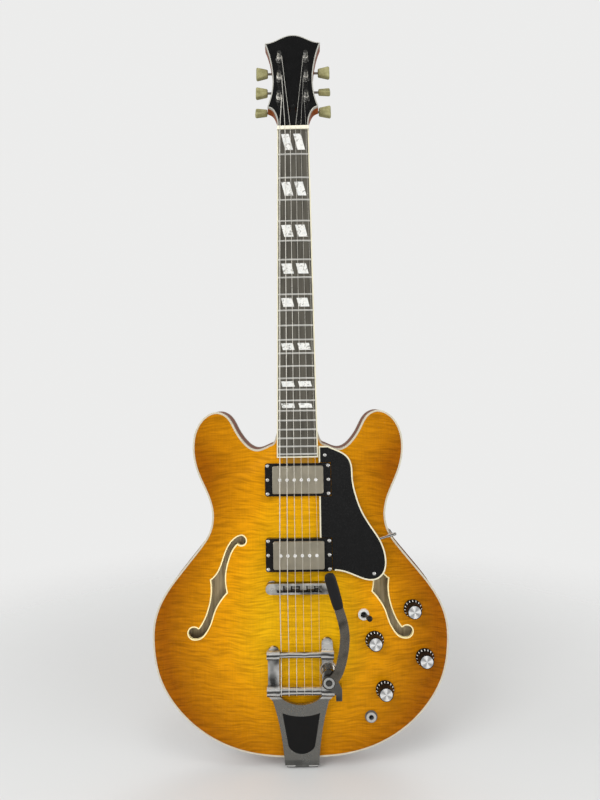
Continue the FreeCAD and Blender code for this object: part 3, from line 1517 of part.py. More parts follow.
def spring():
    """Pressure spring between the frame's cup and the rocker plate, one unbroken tube."""
    wire = d.spring_wire_radius
    low = cup_floor() + wire + d.running_clearance
    high = rocker_low() - wire - d.running_clearance
    rise_per_turn = (high - low) / d.spring_turns

    def at(turn):
        angle = 2 * math.pi * turn
        point = front_point(d.spring_x + d.spring_radius * math.cos(angle),
                            d.spring_station + d.spring_radius * math.sin(angle), low + rise_per_turn * turn)
        way = Vector(-2 * math.pi * d.spring_radius * math.sin(angle), -rise_per_turn,
                     2 * math.pi * d.spring_radius * math.cos(angle)).normalize()
        return point, way

    quarters = int(round(d.spring_turns * 4))
    stops = [at(d.spring_turns * index / quarters) for index in range(quarters + 1)]
    edges = []
    for (start, start_way), (end, end_way) in zip(stops, stops[1:]):
        edges += biarc(start, start_way, end, end_way)
    first, first_way = stops[0]
    path = Part.Wire(edges)
    ring = Part.Wire([Part.makeCircle(wire, first, first_way)])
    tube = path.makePipeShell([ring], True, False)
    steps = 48
    dots = [at(d.spring_turns * index / (steps * quarters / 4))[0]
            for index in range(int(steps * quarters / 4) + 1)]
    gap = min((a - b).Length for i, a in enumerate(dots) for b in dots[i + steps // 2:]) - 2 * wire
    share = tube.Volume / (path.Length * math.pi * wire ** 2)
    print(f"spring: {path.Length:.1f} mm of wire, least gap to itself {gap:.2f} mm, "
          f"volume over section times length {share:.4f}")
    return tube


# Controls


def heights_round(surface, across, station, radius):
    """Least and greatest height of the arch under a round footprint."""
    spots = [(0, 0)] + [(math.cos(k * math.pi / 4), math.sin(k * math.pi / 4)) for k in range(8)]
    values = [top_height(surface, across + radius * c, station + radius * w) for c, w in spots]
    return min(values), max(values)


def knob(number, blank):
    """Round control knob with its pale cap and shaft; gives the pot that turns with it and its hole."""
    across, station = getattr(s, f"knob_{number}_x"), tail + getattr(s, f"knob_{number}_z")
    low, high = heights_round(blank, across.value, station.value, d.knob_radius)
    middle = top_height(blank, across.value, station.value)
    base = high + d.knob_gap
    can_top = low - d.plate_thickness - d.handle_gap
    depth = base - can_top + d.knob_skirt_height
    hollow = s.switch_nut_radius + s.knob_gap
    rim = s.knob_skirt_height * 0.3
    body = turned_body(f"knob_{number}", [
        (0, Size.of(-depth)), (s.pot_shaft_radius, Size.of(-depth)), (s.pot_shaft_radius,
                                                                      s.switch_nut_height),
        (hollow, s.switch_nut_height), (hollow, 0), (s.knob_radius, 0), (s.knob_radius, rim),
        (s.knob_top_radius * 1.08, s.knob_skirt_height), (s.knob_top_radius, s.knob_height),
        (s.knob_cap_radius, s.knob_height), (s.knob_cap_radius, s.knob_height + s.knob_cap_height),
        (0, s.knob_height + s.knob_cap_height)])
    place(body, (across, -(s.rim_depth / 2) - base, station), "front")
    keep(body, f"knob_{number}")

    def at(height):
        return (across.value, -d.rim_depth / 2 - height, station.value)

    can = rod(d.pot_can_radius, at(can_top - d.pot_can_height), at(can_top))
    neck_part = rod(d.pot_bushing_radius, at(can_top), at(middle + d.switch_nut_height))
    nut_top = middle + d.switch_nut_height * 0.75
    nut_part = rod(d.switch_nut_radius, at(middle), at(nut_top)).cut(blank)
    bore = rod(d.pot_shaft_radius + d.running_clearance, at(base - depth - d.running_clearance * 4),
               at(middle + d.switch_nut_height + d.cut_overrun))
    pot = can.fuse([neck_part, nut_part]).cut(bore)
    hole = rod(d.pot_bushing_radius, at(can_top), at(high + d.cut_overrun))
    return pot, hole


def switch_parts(blank):
    """Three-way switch: body under the plate, threaded neck with its nut, and the lever on its pin."""
    across, station = d.switch_x, tail.value + d.switch_z
    low, high = heights_round(blank, across, station, d.switch_nut_radius)
    can_low = heights_round(blank, across, station, d.switch_can_length / 2)[0]

    def at(height, x=0, z=0):
        return (across + x, -d.rim_depth / 2 - height, station + z)

    can_top = can_low - d.plate_thickness - d.handle_gap
    half, wide = d.switch_can_length / 2, d.switch_can_width / 2
    can = box((across - wide, at(can_top)[1], station - half), (across + wide,
                                                                at(can_top - d.switch_can_depth)[1],
                                                                station + half))
    neck_part = rod(d.switch_bushing_radius, at(can_top), at(high + d.switch_nut_height))
    nut_part = rod(d.switch_nut_radius, at(low), at(high + d.switch_nut_height * 0.8)).cut(blank)
    pivot = high - d.lever_radius / 2
    inner = d.switch_bushing_radius - d.knob_cap_height * 1.5
    hollow = rod(inner, at(pivot - d.lever_radius * 3), at(high + d.switch_nut_height + d.cut_overrun))
    lean = math.radians(d.lever_lean)
    way = Vector(math.sin(lean), -math.cos(lean), 0)
    centre = Vector(*at(pivot))
    barrel_half, pin_half = Vector(0, 0, inner * 0.66), Vector(0, 0,
                                                              d.switch_bushing_radius - d.lever_radius * 0.3)
    barrel = rod(d.lever_radius * 1.5, centre - barrel_half, centre + barrel_half)
    pin = rod(d.lever_pin_radius, centre - pin_half, centre + pin_half)
    pin_bore = rod(d.lever_pin_radius + d.running_clearance, centre - pin_half, centre + pin_half)
    shaft = Part.makeCylinder(d.lever_radius, d.lever_length, centre, way)
    foot = centre + way * (d.lever_length - d.lever_tip_length)
    tip = Part.makeCone(d.lever_radius * 1.15, d.lever_tip_radius, d.lever_tip_length, foot, way)
    dome = Part.makeSphere(d.lever_tip_radius, foot + way * d.lever_tip_length)
    lever = barrel.fuse([pin, shaft, tip, dome]).removeSplitter()
    housing = can.fuse([neck_part, nut_part]).cut([hollow, pin_bore])
    hole = rod(d.switch_bushing_radius, at(can_top), at(high + d.cut_overrun))
    return housing, lever, hole, centre


def output_jack(blank):
    """Round socket through the top with its nut and washer."""
    across, station = s.jack_x, tail + s.jack_z
    low, high = heights_round(blank, across.value, station.value, d.jack_can_radius)
    under = low - d.plate_thickness - d.handle_gap
    top = high + d.jack_nut_height
    washer = s.jack_nut_radius * 1.15
    body = turned_body("output_jack", [
        (s.jack_bore_radius, -s.jack_depth), (s.jack_can_radius, -s.jack_depth), (s.jack_can_radius, 0),
        (s.jack_bushing_radius, 0), (s.jack_bushing_radius, Size.of(high - under)), (washer,
                                                                                     Size.of(high - under)),
        (washer, Size.of(high - under + d.handle_gap * 2)), (s.jack_nut_radius,
                                                             Size.of(high - under + d.handle_gap * 2)),
        (s.jack_nut_radius, Size.of(top - under)), (s.jack_bore_radius, Size.of(top - under))])
    place(body, (across, -(s.rim_depth / 2) - under, station), "front")
    keep(body, "output_jack")
    print(f"output jack: mouth at height {top:.2f}, can top at height {under:.2f}")
    at = (across.value, -d.rim_depth / 2, station.value)
    return rod(d.jack_bushing_radius, (at[0], at[1] - under, at[2]), (at[0], at[1] - high - d.cut_overrun,
                                                                      at[2]))


def strap_buttons(heel_at):
    """End button on the hinge plate and heel button on the back, each with its screw."""
    radii = (s.strap_pin_radius, s.strap_head_radius, s.strap_flange_radius)
    half = s.strap_pin_length / 2
    buttons = []
    for name, corner, turn in (("end_button", (0, 0, button_head), "down"), ("heel_button", heel_at, "back")):
        profile = [(0, -half - s.strap_flange_thickness - s.screw_shank_length * 1.6),
                   (s.screw_shank_radius, -half - s.strap_flange_thickness - s.screw_shank_length * 1.6),
                   (s.screw_shank_radius, -half - s.strap_flange_thickness), (radii[2],
                                                                              -half
                                                                              - s.strap_flange_thickness),
                   (radii[2], -half), (radii[0], -half), (radii[0], half), (radii[1],
                                                                            half
                                                                            + s.strap_flange_thickness * 0.4),
                   (radii[1], half + s.strap_head_thickness * 0.8), (radii[1] * 0.8,
                                                                     half + s.strap_head_thickness),
                   (0, half + s.strap_head_thickness)]
        body = turned_body(name, profile)
        place(body, corner, turn)
        buttons.append(body)
    return keep(joined("strap_buttons", "Compound", buttons), "strap_buttons")


def truss_cover():
    """Bell-shaped plate over the truss rod's end, with its screw holes left plain."""
    wide, tall = d.cover_plate_width / 2, d.cover_plate_length
    foot = d.cut_overrun
    edges = []
    for side in (1, -1):
        run = [Vector(side * wide, 0, foot), Vector(side * wide * 0.92, 0, foot + tall * 0.2),
               Vector(side * wide * 0.5, 0, foot + tall * 0.5),
               Vector(side * wide * 0.36, 0, foot + tall * 0.8)]
        edges.append(smooth_edge(run))
    low = Part.makeLine(Vector(-wide, 0, foot), Vector(wide, 0, foot))
    top = Part.Arc(Vector(-wide * 0.36, 0, foot + tall * 0.8), Vector(0, 0, foot + tall),
                   Vector(wide * 0.36, 0, foot + tall * 0.8))
    face = closed_face(edges + [low, top.toShape()])
    return face.extrude(Vector(0, -d.cover_plate_thickness, 0))


def guard_bracket(outline):
    """Rod from under the pickguard past the body's side at the waist, with its end nut, leg and foot."""
    depth = d.guard_top + d.guard_thickness + d.bracket_rod_radius + d.handle_gap
    start, end = [neck_frame().multVec(Vector(across * d.guard_width, depth, up * d.guard_length))
                  for across, up in BRACKET_SHARES]
    along = (end - start).normalize()
    thick = d.bracket_rod_radius * 1.4
    leg_top = end - along * (thick * 1.8)
    flat = Vector(leg_top.x, 0, leg_top.z)
    beside = outline.distToShape(Part.Vertex(flat))[1][0][0]
    outward = (flat - beside).normalize()
    level = Vector(0, -d.rim_depth * 0.2, 0)
    leg_low = flat + level
    pieces = [rod(thick, end - along * (thick * 5), end), Part.makeSphere(thick, end),
              rod(d.bracket_rod_radius, leg_top, leg_low), Part.makeSphere(d.bracket_rod_radius, leg_low),
              rod(d.bracket_rod_radius * 2, beside + level + outward * d.handle_gap, leg_low)]
    return rod(d.bracket_rod_radius, start, end).fuse(pieces).removeSplitter()


def guard_screws():
    places = [(0.315, 0.868), (0.86, 0.07)]
    solids = [screw((across * d.guard_width, d.guard_top, up * d.guard_length), (0, 1, 0),
                    d.screw_shank_length * 1.4)
              for across, up in places]
    return moved(Part.makeCompound(solids), neck_frame())


def cover_screws():
    """Three small screws of the truss rod cover."""
    wide, tall, foot = d.cover_plate_width / 2, d.cover_plate_length, d.cut_overrun
    spots = [(-wide * 0.72, foot + tall * 0.09), (wide * 0.72, foot + tall * 0.09), (0, foot + tall * 0.88)]
    solids = [screw((across, -d.cover_plate_thickness, up), (0, 1, 0), d.screw_shank_length / 2)
              for across, up in spots]
    return moved(Part.makeCompound(solids), head_frame())


# Assembly


def assemble():
    overrun, rim_front = d.cut_overrun, -d.rim_depth / 2
    outline = body_outline()
    blank = arch_blank()
    inner_blank = moved(blank, Placement(Vector(0, d.plate_thickness, 0), Rotation()))
    flip = (Vector(0, 0, 0), Vector(0, 1, 0))
    neck_at, head_at = neck_frame(), head_frame()

    # Neck wood, fingerboard and headstock
    nut_box = box((-d.nut_width / 2, -d.nut_rise, d.scale_length), (d.nut_width / 2, d.board_thickness,
                                                                    d.scale_length + d.nut_length))
    pocket = box((-d.truss_pocket_width / 2, -overrun, overrun * 2),
                 (d.truss_pocket_width / 2, d.truss_rod_depth - d.head_drop - d.truss_rod_radius / 2,
                  overrun * 2 + d.truss_pocket_length))
    bushing_holes = [rod(d.bushing_radius, (x, -overrun, up), (x, d.head_thickness + overrun, up))
                     for x, up in tuner_places()]
    rod_solid = rod(d.truss_rod_radius, (0, d.truss_rod_depth, joint_station() - d.truss_rod_reach),
                    (0, d.truss_rod_depth, d.scale_length + d.nut_length + d.truss_rod_reach))
    screws_head = cover_screws()
    band_depth = d.veneer_thickness * 2
    head_band = head_slab(0, 0, band_depth).cut(head_slab(d.head_binding, -overrun, band_depth + overrun))
    wood = neck_shaft().fuse([heel(), tenon()])
    head_wood = moved(head_slab(0, d.veneer_thickness, d.head_thickness), head_at)
    wood = moved(wood, neck_at).fuse(head_wood).removeSplitter()
    head_cuts = [moved(shape, head_at)
                 for shape in [pocket, head_band, head_slab(0, -overrun, d.veneer_thickness)] + bushing_holes]
    rod_world = moved(rod_solid, neck_at)
    pickup_holes = [moved(pickup_cavity(station), neck_at) for station in pickup_places()]
    wood = wood.cut(head_cuts + [moved(nut_box, neck_at), rod_world, screws_head] + pickup_holes)
    neck_item = feature("neck", wood)
    head_face = moved(head_slab(d.head_binding, 0, d.veneer_thickness), head_at)
    feature("headstock_veneer", head_face.cut([moved(shape, head_at) for shape in [pocket] + bushing_holes]
                                              + [moved(nut_box, neck_at), screws_head]))
    board_whole, board_inner = board_blank(0), board_blank(d.board_binding)
    board_band = board_whole.cut(board_inner)
    feature("neck_binding", Part.makeCompound([moved(board_band, neck_at),
                                               moved(head_band, head_at).cut(moved(nut_box, neck_at))]))
    marks = inlay_prisms()
    feature("fret_inlays", marks.common(board_inner), neck_at)
    feature("fingerboard", board_inner.cut(marks), neck_at)
    feature("frets", frets(), neck_at)
    feature("truss_rod", rod_world)
    feature("truss_rod_cover", moved(truss_cover(), head_at).cut(screws_head))

    # Strings and nut
    string_set = strings()
    slots = []
    for index in range(6):
        radius = string_radius(index) + d.string_clearance
        post_x, post_up = tuner_places()[index]
        beside = post_x - math.copysign(d.post_radius + d.string_clearance + string_radius(index), post_x)
        corner = neck_at.multVec(Vector(string_across(index, d.string_spread_nut), -d.string_height_nut,
                                        d.scale_length + d.nut_length / 2))
        before = neck_at.multVec(Vector(string_across(index, d.string_spread_bridge), -d.string_height_saddle,
                                        -saddle_setback(index)))
        after = head_at.multVec(Vector(beside, -d.string_height_post, post_up))
        for far in (before, after):
            slots.append(rod(radius, corner, corner + (far - corner).normalize() * d.nut_length * 2))
    feature("nut", moved(nut_box, neck_at).cut(slots))
    feature("strings", string_set)

    # Tuners
    housings = [tuner_housing(x, up) for x, up in tuner_places()]
    feature("tuner_housings", Part.makeCompound(housings), head_at)
    feature("tuner_bushings", Part.makeCompound([tuner_bushing(x, up) for x, up in tuner_places()]), head_at)
    for index, (x, up) in enumerate(tuner_places()):
        feature(f"tuner_key_{index + 1}", moved(tuner_key(x, up, KEY_TURNS[index]), head_at))
        feature(f"tuner_post_{index + 1}", tuner_post(x, up), head_at)

    # Controls on the top
    pots, plate_holes = [], []
    for number in range(1, 5):
        pot, hole = knob(number, blank)
        pots.append(pot)
        plate_holes.append(hole)
    feature("control_pots", Part.makeCompound(pots))
    housing, lever, hole, pivot = switch_parts(blank)
    plate_holes.append(hole)
    feature("switch_body", housing)
    feature("switch_lever", lever)
    print(f"switch lever pivot at {pivot.x:.2f} {pivot.y:.2f} {pivot.z:.2f}")
    plate_holes.append(output_jack(blank))

    # Pickups and their screws
    ring_fixings = ring_screws()
    guard_fixings = guard_screws()
    rings = [pickup_ring(station, blank).cut(ring_fixings) for station in pickup_places()]
    feature("pickup_rings", Part.makeCompound(rings).cut(neck_item.Shape))
    feature("pickup_covers", Part.makeCompound([pickup_cover(station) for station in pickup_places()]),
            neck_at)
    feature("pickup_coils", Part.makeCompound([pickup_coil(station) for station in pickup_places()]), neck_at)
    feature("pole_screws", pole_screws(), neck_at)

    # Bridge
    bridge_parts()
    post_holes = [rod(d.bridge_post_radius, (side * d.bridge_post_spread / 2, 0,
                                             tail.value + d.saddle_station - d.bridge_setback),
                      (side * d.bridge_post_spread / 2, -d.rim_depth,
                       tail.value + d.saddle_station - d.bridge_setback))
                  for side in (-1, 1)]

    # Pickguard
    plate, band = guard_parts()
    bracket = guard_bracket(outline)
    feature("pickguard", plate.cut([guard_fixings]))
    feature("pickguard_binding", band.cut([guard_fixings]))
    feature("pickguard_bracket", bracket)

    # Tailpiece
    feature("vibrato_frame", tailpiece_frame(blank))
    feature("frame_inset", panel())
    feature("tail_hinge", tail_hinge())
    bar = bar_rod(d.tension_bar_radius, -d.arm_outer + d.handle_gap, d.arm_outer - d.handle_gap,
                  d.tension_bar_station, d.tension_bar_height)
    feature("tension_bar", bar)
    feature("string_bar", string_bar())
    feature("vibrato_spring", spring())
    handle = handle_bar()
    feature("vibrato_handle", handle)
    feature("handle_grip", handle_grip().cut(handle))

    # Strap buttons: the heel button stands on the back near the neck joint
    heel_station = tail.value + HEEL_BUTTON_SHARE * d.body_length
    heel_height = d.rim_depth / 2 + heights_round(blank, 0, heel_station, d.strap_flange_radius)[1]
    strap_buttons((0, Size.of(heel_height) + s.strap_flange_thickness + s.strap_pin_length / 2,
                   tail + s.body_length * HEEL_BUTTON_SHARE))
    head_middle = heel_height + d.strap_flange_thickness + d.strap_pin_length / 2 + button_head.value
    print(f"heel button head middle at y {head_middle:.2f}, z {heel_station:.2f}")
    end_hole = rod(d.screw_shank_radius, (0, 0, 0), (0, 0, tail.value + d.screw_shank_length * 2))
    heel_hole = rod(d.screw_shank_radius, (0, heel_height + overrun, heel_station),
                    (0, heel_height - d.screw_shank_length * 1.6, heel_station))
    fixings = tail_screws()
    feature("screws", Part.makeCompound([ring_fixings, guard_fixings, screws_head] + fixings))

    # Body shell
    neck_wood = [neck_item.Shape, rod_world]
    band_front = body_slab(outline, 0, rim_front, rim_front + d.binding_depth).cut(
        body_slab(outline, d.binding_width, rim_front - overrun, rim_front + d.binding_depth + overrun))
    band_back = band_front.mirror(*flip)
    bands = Part.makeCompound([band_front, band_back])
    feature("body_binding", bands.cut(neck_wood))
    inner_low, inner_high = rim_front + d.plate_thickness, -rim_front - d.plate_thickness
    plate_slab = body_slab(outline, d.binding_width, rim_front - d.arch_height - overrun,
                           rim_front + d.plate_thickness)
    layer = blank.cut(inner_blank)
    front = plate_slab.common(layer)
    f_bands, f_cuts = [], []
    for side in (1, -1):
        wire = f_hole_wire(side)
        hole_prism = through_slab(wire)
        f_cuts.append(hole_prism)
        f_bands.append(hole_prism.cut(through_slab(drawn_in(wire, d.f_binding_width))).common(front))
    feature("f_hole_binding", Part.makeCompound(f_bands))
    shared = neck_wood + [ring_fixings, guard_fixings] + pickup_holes + post_holes
    feature("top_plate", front.cut(f_cuts + plate_holes + shared))
    back = front.mirror(*flip)
    feature("back_plate", back.cut(neck_wood + [heel_hole]))
    side_wall = body_slab(outline, 0, inner_low, inner_high).cut(
        body_slab(outline, d.rim_thickness, inner_low - overrun, inner_high + overrun))
    feature("rim", side_wall.cut([bands, end_hole] + neck_wood + fixings))
    cavity = body_slab(outline, d.rim_thickness, inner_low, inner_high)
    half_block = d.block_width / 2
    column = box((-half_block, -d.rim_depth, 0), (half_block, d.rim_depth, 2 * d.body_length))
    block = cavity.common(column)
    feature("centre_block", block.cut(shared + [end_hole, heel_hole] + fixings))
    strip = body_slab(outline, d.rim_thickness, inner_low, inner_low + d.lining_height).cut(
        body_slab(outline, d.rim_thickness + d.lining_width, inner_low - overrun,
                  inner_low + d.lining_height + overrun))
    strip = strip.cut(box((-half_block, -d.rim_depth, 0), (half_block, d.rim_depth, 2 * d.body_length)))
    feature("linings", Part.makeCompound([strip, strip.mirror(*flip)]))
    brace_low = inner_low - d.glue_line
    brace_slab = body_slab(outline, d.binding_width, rim_front - d.arch_height, brace_low).common(column)
    brace = brace_slab.common(inner_blank)
    back_brace = brace.mirror(*flip)
    feature("contour_braces", Part.makeCompound([brace.cut(shared), back_brace.cut(neck_wood + [heel_hole])]))


def export():
    doc.recompute()
    os.makedirs("parts", exist_ok=True)
    for item in doc.Objects:
        faults = [state for state in item.State if state in ("Invalid", "Error")]
        if faults:
            raise RuntimeError(f"{item.Label}: {faults}")
    unsound = []
    for item in nodes:
        shape = item.Shape
        if shape.isNull() or not shape.isValid() or shape.Volume <= 0:
            unsound.append(item.Label)
        shape.exportStep(f"parts/{item.Label}.step")
        bounds = shape.BoundBox
        print(f"{item.Label}: {len(shape.Solids)} solids, volume {shape.Volume:.0f}, "
              f"x {bounds.XMin:.1f} {bounds.XMax:.1f}, y {bounds.YMin:.1f} {bounds.YMax:.1f}, "
              f"z {bounds.ZMin:.1f} {bounds.ZMax:.1f}")
    if unsound:
        raise RuntimeError(f"not sound: {unsound}")


assemble()
export()
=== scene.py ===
import math

import bmesh
import bpy
from mathutils import Matrix, Vector


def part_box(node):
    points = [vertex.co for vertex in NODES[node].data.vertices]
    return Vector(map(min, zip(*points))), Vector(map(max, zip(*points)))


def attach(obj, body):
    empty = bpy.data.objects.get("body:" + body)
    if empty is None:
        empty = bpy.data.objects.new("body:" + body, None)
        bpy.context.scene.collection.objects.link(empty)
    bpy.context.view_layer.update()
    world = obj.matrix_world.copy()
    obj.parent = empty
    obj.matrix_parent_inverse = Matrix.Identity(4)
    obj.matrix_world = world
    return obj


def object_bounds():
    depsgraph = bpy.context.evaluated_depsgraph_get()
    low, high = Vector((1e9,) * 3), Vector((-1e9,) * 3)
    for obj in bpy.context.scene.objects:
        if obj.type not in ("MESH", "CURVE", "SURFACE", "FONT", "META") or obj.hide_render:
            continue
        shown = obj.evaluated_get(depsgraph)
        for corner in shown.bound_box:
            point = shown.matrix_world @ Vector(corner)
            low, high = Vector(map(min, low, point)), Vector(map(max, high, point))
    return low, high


bl_info = {
    "name": "Semi-hollow guitar",
    "version": (1, 0, 0),
    "blender": (4, 5, 0),
    "location": "View3D > Sidebar > Guitar",
    "description": "Finishes and small pieces for a semi-hollow electric guitar",
    "category": "Object",
}

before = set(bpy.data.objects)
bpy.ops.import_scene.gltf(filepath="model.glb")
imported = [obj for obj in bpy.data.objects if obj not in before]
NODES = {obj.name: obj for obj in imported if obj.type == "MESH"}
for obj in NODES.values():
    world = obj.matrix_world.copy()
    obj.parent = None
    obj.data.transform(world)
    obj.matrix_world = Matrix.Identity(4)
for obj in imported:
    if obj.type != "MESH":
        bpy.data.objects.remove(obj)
CAD_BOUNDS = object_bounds()
MM = 0.001

# Places that part.py gives the guitar, in millimetres and degrees
TAIL_RISE = 11.48
SCALE_LENGTH = 628.65
SADDLE_STATION = 248.0
FRET_PLANE = 22.25 + 26.0
NECK_ANGLE = 3.0
HEAD_TILT = 17.0
HEAD_DROP = 3.5
NUT_LENGTH = 4.8
TUNER_FIRST = 51.3
TUNER_PITCH = 37.9
TUNER_COLUMN = 19.2
TUNERS_PER_SIDE = 3
POST_RADIUS = 3.0
STRING_DIAMETERS = (1.17, 0.91, 0.66, 0.43, 0.33, 0.25)
KNOBS = ((155.9, 207.5), (171.7, 139.4), (101.9, 167.0), (115.5, 97.7))
HANDLE_PIVOT = (37.7, 123.6)
JACK_PLACE = (96.3, 59.3)

# Places where one piece changes its finish, or where painted shade starts on the bridge, in millimetres
BURST_MIDDLE = 178.2
KEY_BUTTON_START = 37.0
HEAD_START = 890.0
ROCKER_START = 31.5
ARMS_START = 104.0
# Beyond this depth behind the bridge's front face, its recess is painted dark as shade
BRIDGE_PAINTED_SHADE_DEPTH = 2.5

# String windings: sizes in millimetres, and the pitch of a turn as a multiple of the string's radius
THINNEST_RADIUS = 0.2
WINDING_HEIGHT = 7.0
WINDING_PITCH = 2.1
WINDING_SIDES = 8
STEPS_PER_TURN = 20

# Knobs: radii and depth in millimetres, count and turn of the painted sheen fans on the cap, and lines of the
# turned cap in radians a metre
MARK_COUNT = 16.0
MARK_SHARE = 0.24
MARK_INNER = 10.7
MARK_OUTER = 12.2
CAP_RADIUS = 8.45
CAP_EDGE = 1.2
CAP_FANS = 4.0
CAP_FAN_TURN = 0.9
CAP_METALLIC = 0.45
CAP_LINES = 9000.0

# Wood figure: stretches along or across the grain, and colours as shares of the tint
FLAME_WANDER = 0.035
FLAME_STRETCH = 0.09
FINE_GRAIN_STRETCH = 0.03
FIGURE_DARK, FIGURE_PLAIN, FIGURE_BRIGHT = 0.74, 0.97, 1.16
FINE_GRAIN_DARK = 0.9
STAIN_STRETCH = 0.04
STAIN_DARK = 0.62
RAW_STRETCH = 0.05
INNER_FACE_LIMIT = -0.3

# Painted reflection bands on metals: how far a face's turn and a cloud shift them, and when a metal has them
BAND_SIDEWAYS = 3.0
BAND_CLOUD = 5.5
PAINTED_REFLECTION_BELOW = 0.8

# Sizes of scuffs and mottle, as noise scales, and depths of bumps in metres
METAL_SCUFFS = 260.0
PLASTIC_SCUFFS = 225.0
PLASTIC_MOTTLE = 90.0
MOTTLE_SPREAD = 0.08
SCUFF_DEPTH = 0.0003
GRAIN_DEPTH = 0.0002
TURNING_DEPTH = 0.0001

# Colours of woods and plastics, as linear red, green and blue
SIDE_STAIN = (0.26, 0.062, 0.010)
TONGUE_TINT = (0.36, 0.17, 0.006)
EBONY = (0.085, 0.078, 0.062)
RAW_WOOD = (0.70, 0.58, 0.36)
INNER_DARK, INNER_PALE = (0.70, 0.55, 0.29), (1.0, 0.84, 0.52)
# Binding on the headstock: the cream painted darker as shade, where the light falls off towards the head
HEAD_BINDING_PAINTED_SHADE = (0.36, 0.35, 0.31)
WARM_BINDING = (0.84, 0.72, 0.38)
# Body binding: cream painted darker as the shade along the body's edge
BINDING_PAINTED_SHADE = (0.50, 0.46, 0.36)
BONE = (0.74, 0.69, 0.55)
PEARL = (0.72, 0.71, 0.66)
PEARL_SWIRLS = ((0.36, (0.30, 0.30, 0.28)), (0.46, (0.74, 0.73, 0.69)), (0.62, (0.62, 0.63, 0.61)))
GRIP_BLACK = (0.012, 0.012, 0.013)
KNOB_BLACK = (0.008, 0.008, 0.008)
KNOB_MARKS = (0.66, 0.65, 0.61)
# Dark and bright fans of the knob caps: painted sheen of spun metal
CAP_PAINTED_SHEEN_DARK, CAP_PAINTED_SHEEN_BRIGHT = (0.42, 0.42, 0.42), (0.95, 0.95, 0.94)
KEY_PLASTIC = (0.3, 0.28, 0.13)
KEY_DARK, KEY_PALE = (0.20, 0.185, 0.08), (0.33, 0.31, 0.15)

# Colours of metals, as linear red, green and blue
NICKEL = (0.90, 0.88, 0.83)
BRIGHT_NICKEL = (0.92, 0.91, 0.88)
COVER_NICKEL = (0.70, 0.63, 0.48)
# Painted shade for the bridge's recess, behind its bright front face
SHADED_NICKEL = (0.10, 0.095, 0.09)
SADDLE_NICKEL = (0.66, 0.64, 0.59)
POLE_NICKEL = (0.95, 0.94, 0.90)
SCREW_NICKEL = (0.90, 0.89, 0.86)
FRET_NICKEL = (0.56, 0.55, 0.51)
JACK_NICKEL = (0.30, 0.29, 0.27)
SHAFT_NICKEL = (0.72, 0.70, 0.65)
ROCKER_STEEL = (0.42, 0.41, 0.39)
STRING_STEEL = (0.85, 0.82, 0.74)
SPRING_STEEL = (0.80, 0.78, 0.72)
HANDLE_STEEL = (0.27, 0.245, 0.21)
POT_STEEL = (0.5, 0.5, 0.5)
CAST_GREY = (0.60, 0.60, 0.57)
BLACKENED = (0.012, 0.012, 0.012)

# Rings of colour about the handle's pivot and the jack's axis: share of the reach in millimetres, and colour
BOSS_REACH = 8.4
BOSS_RINGS = ((0.0, (0.10, 0.11, 0.10)), (0.50, (0.12, 0.12, 0.11)), (0.56, (0.92, 0.92, 0.90)),
              (0.86, (0.9, 0.9, 0.88)), (0.92, (0.03, 0.03, 0.03)))
SOCKET_REACH = 7.6
SOCKET_RINGS = ((0.40, (0.04, 0.04, 0.04)), (0.48, (0.85, 0.84, 0.80)), (0.84, (0.95, 0.94, 0.91)),
                (0.94, (0.30, 0.29, 0.26)))

# Stage: sizes in metres, and colours as the camera, shiny surfaces and other rays see them
FLOOR_SIZE = 6.0
FLOOR_GAP = 0.001
FLOOR_COLOUR, FLOOR_MIRRORED = (0.66, 0.66, 0.65), (0.16, 0.16, 0.155)
SKY_COLOUR, SKY_SEEN = (0.90, 0.91, 0.92), (1.40, 1.40, 1.39)
DOME = ((0.48, (0.14, 0.14, 0.14)), (0.53, (0.42, 0.42, 0.42)), (0.70, (0.60, 0.60, 0.60)),
        (0.84, (0.40, 0.40, 0.40)), (0.93, (0.05, 0.05, 0.05)))
LAMP_AIM = (0, 0, 0.35)

# Lamps: name, place and size in metres, power in watts, and whether shiny surfaces mirror them
LAMPS = (("key", (-1.1, -1.7, 1.7), 1.3, 27.0, False), ("fill", (1.7, -1.5, 0.9), 1.6, 13.0, False),
         ("front", (0.1, -1.5, 0.5), 0.5, 5.0, False), ("rim", (0.6, 1.8, 1.6), 1.2, 10.0, False),
         ("left_box", (-1.9, -0.5, 0.7), 1.0, 8.0, True), ("right_box", (1.9, -0.4, 0.5), 1.0, 6.0, True),
         ("top_box", (0.1, -0.9, 2.3), 0.9, 6.0, False))

# The photograph's camera in the neck's frame: millimetres, radians, and pixels of an 800 pixel high image
CAMERA_PLACE = (13.904, -788.33, 212.0)
CAMERA_TURNS = (-0.04819, 0.01188, -0.01476)
FOCAL_PIXELS = 578.0
IMAGE_HEIGHT = 800.0
SENSOR_HEIGHT = 24.0


def neck_frame():
    """Saddle line on the fret plane, +Z up the scale, in millimetres."""
    place = Matrix.Translation((0, -FRET_PLANE, TAIL_RISE + SADDLE_STATION))
    return place @ Matrix.Rotation(math.radians(-NECK_ANGLE), 4, "X")


def head_frame():
    """Middle of the headstock's face at the nut, in millimetres."""
    step = Matrix.Translation((0, HEAD_DROP, SCALE_LENGTH + NUT_LENGTH))
    return neck_frame() @ step @ Matrix.Rotation(math.radians(-HEAD_TILT), 4, "X")


# Colours


def grey(level):
    """A colour with the same red, green and blue."""
    return (level, level, level)


def shaded(colour, share):
    """A share of a colour, no brighter than white."""
    return tuple(min(1.0, value * share) for value in colour)


# Nodes


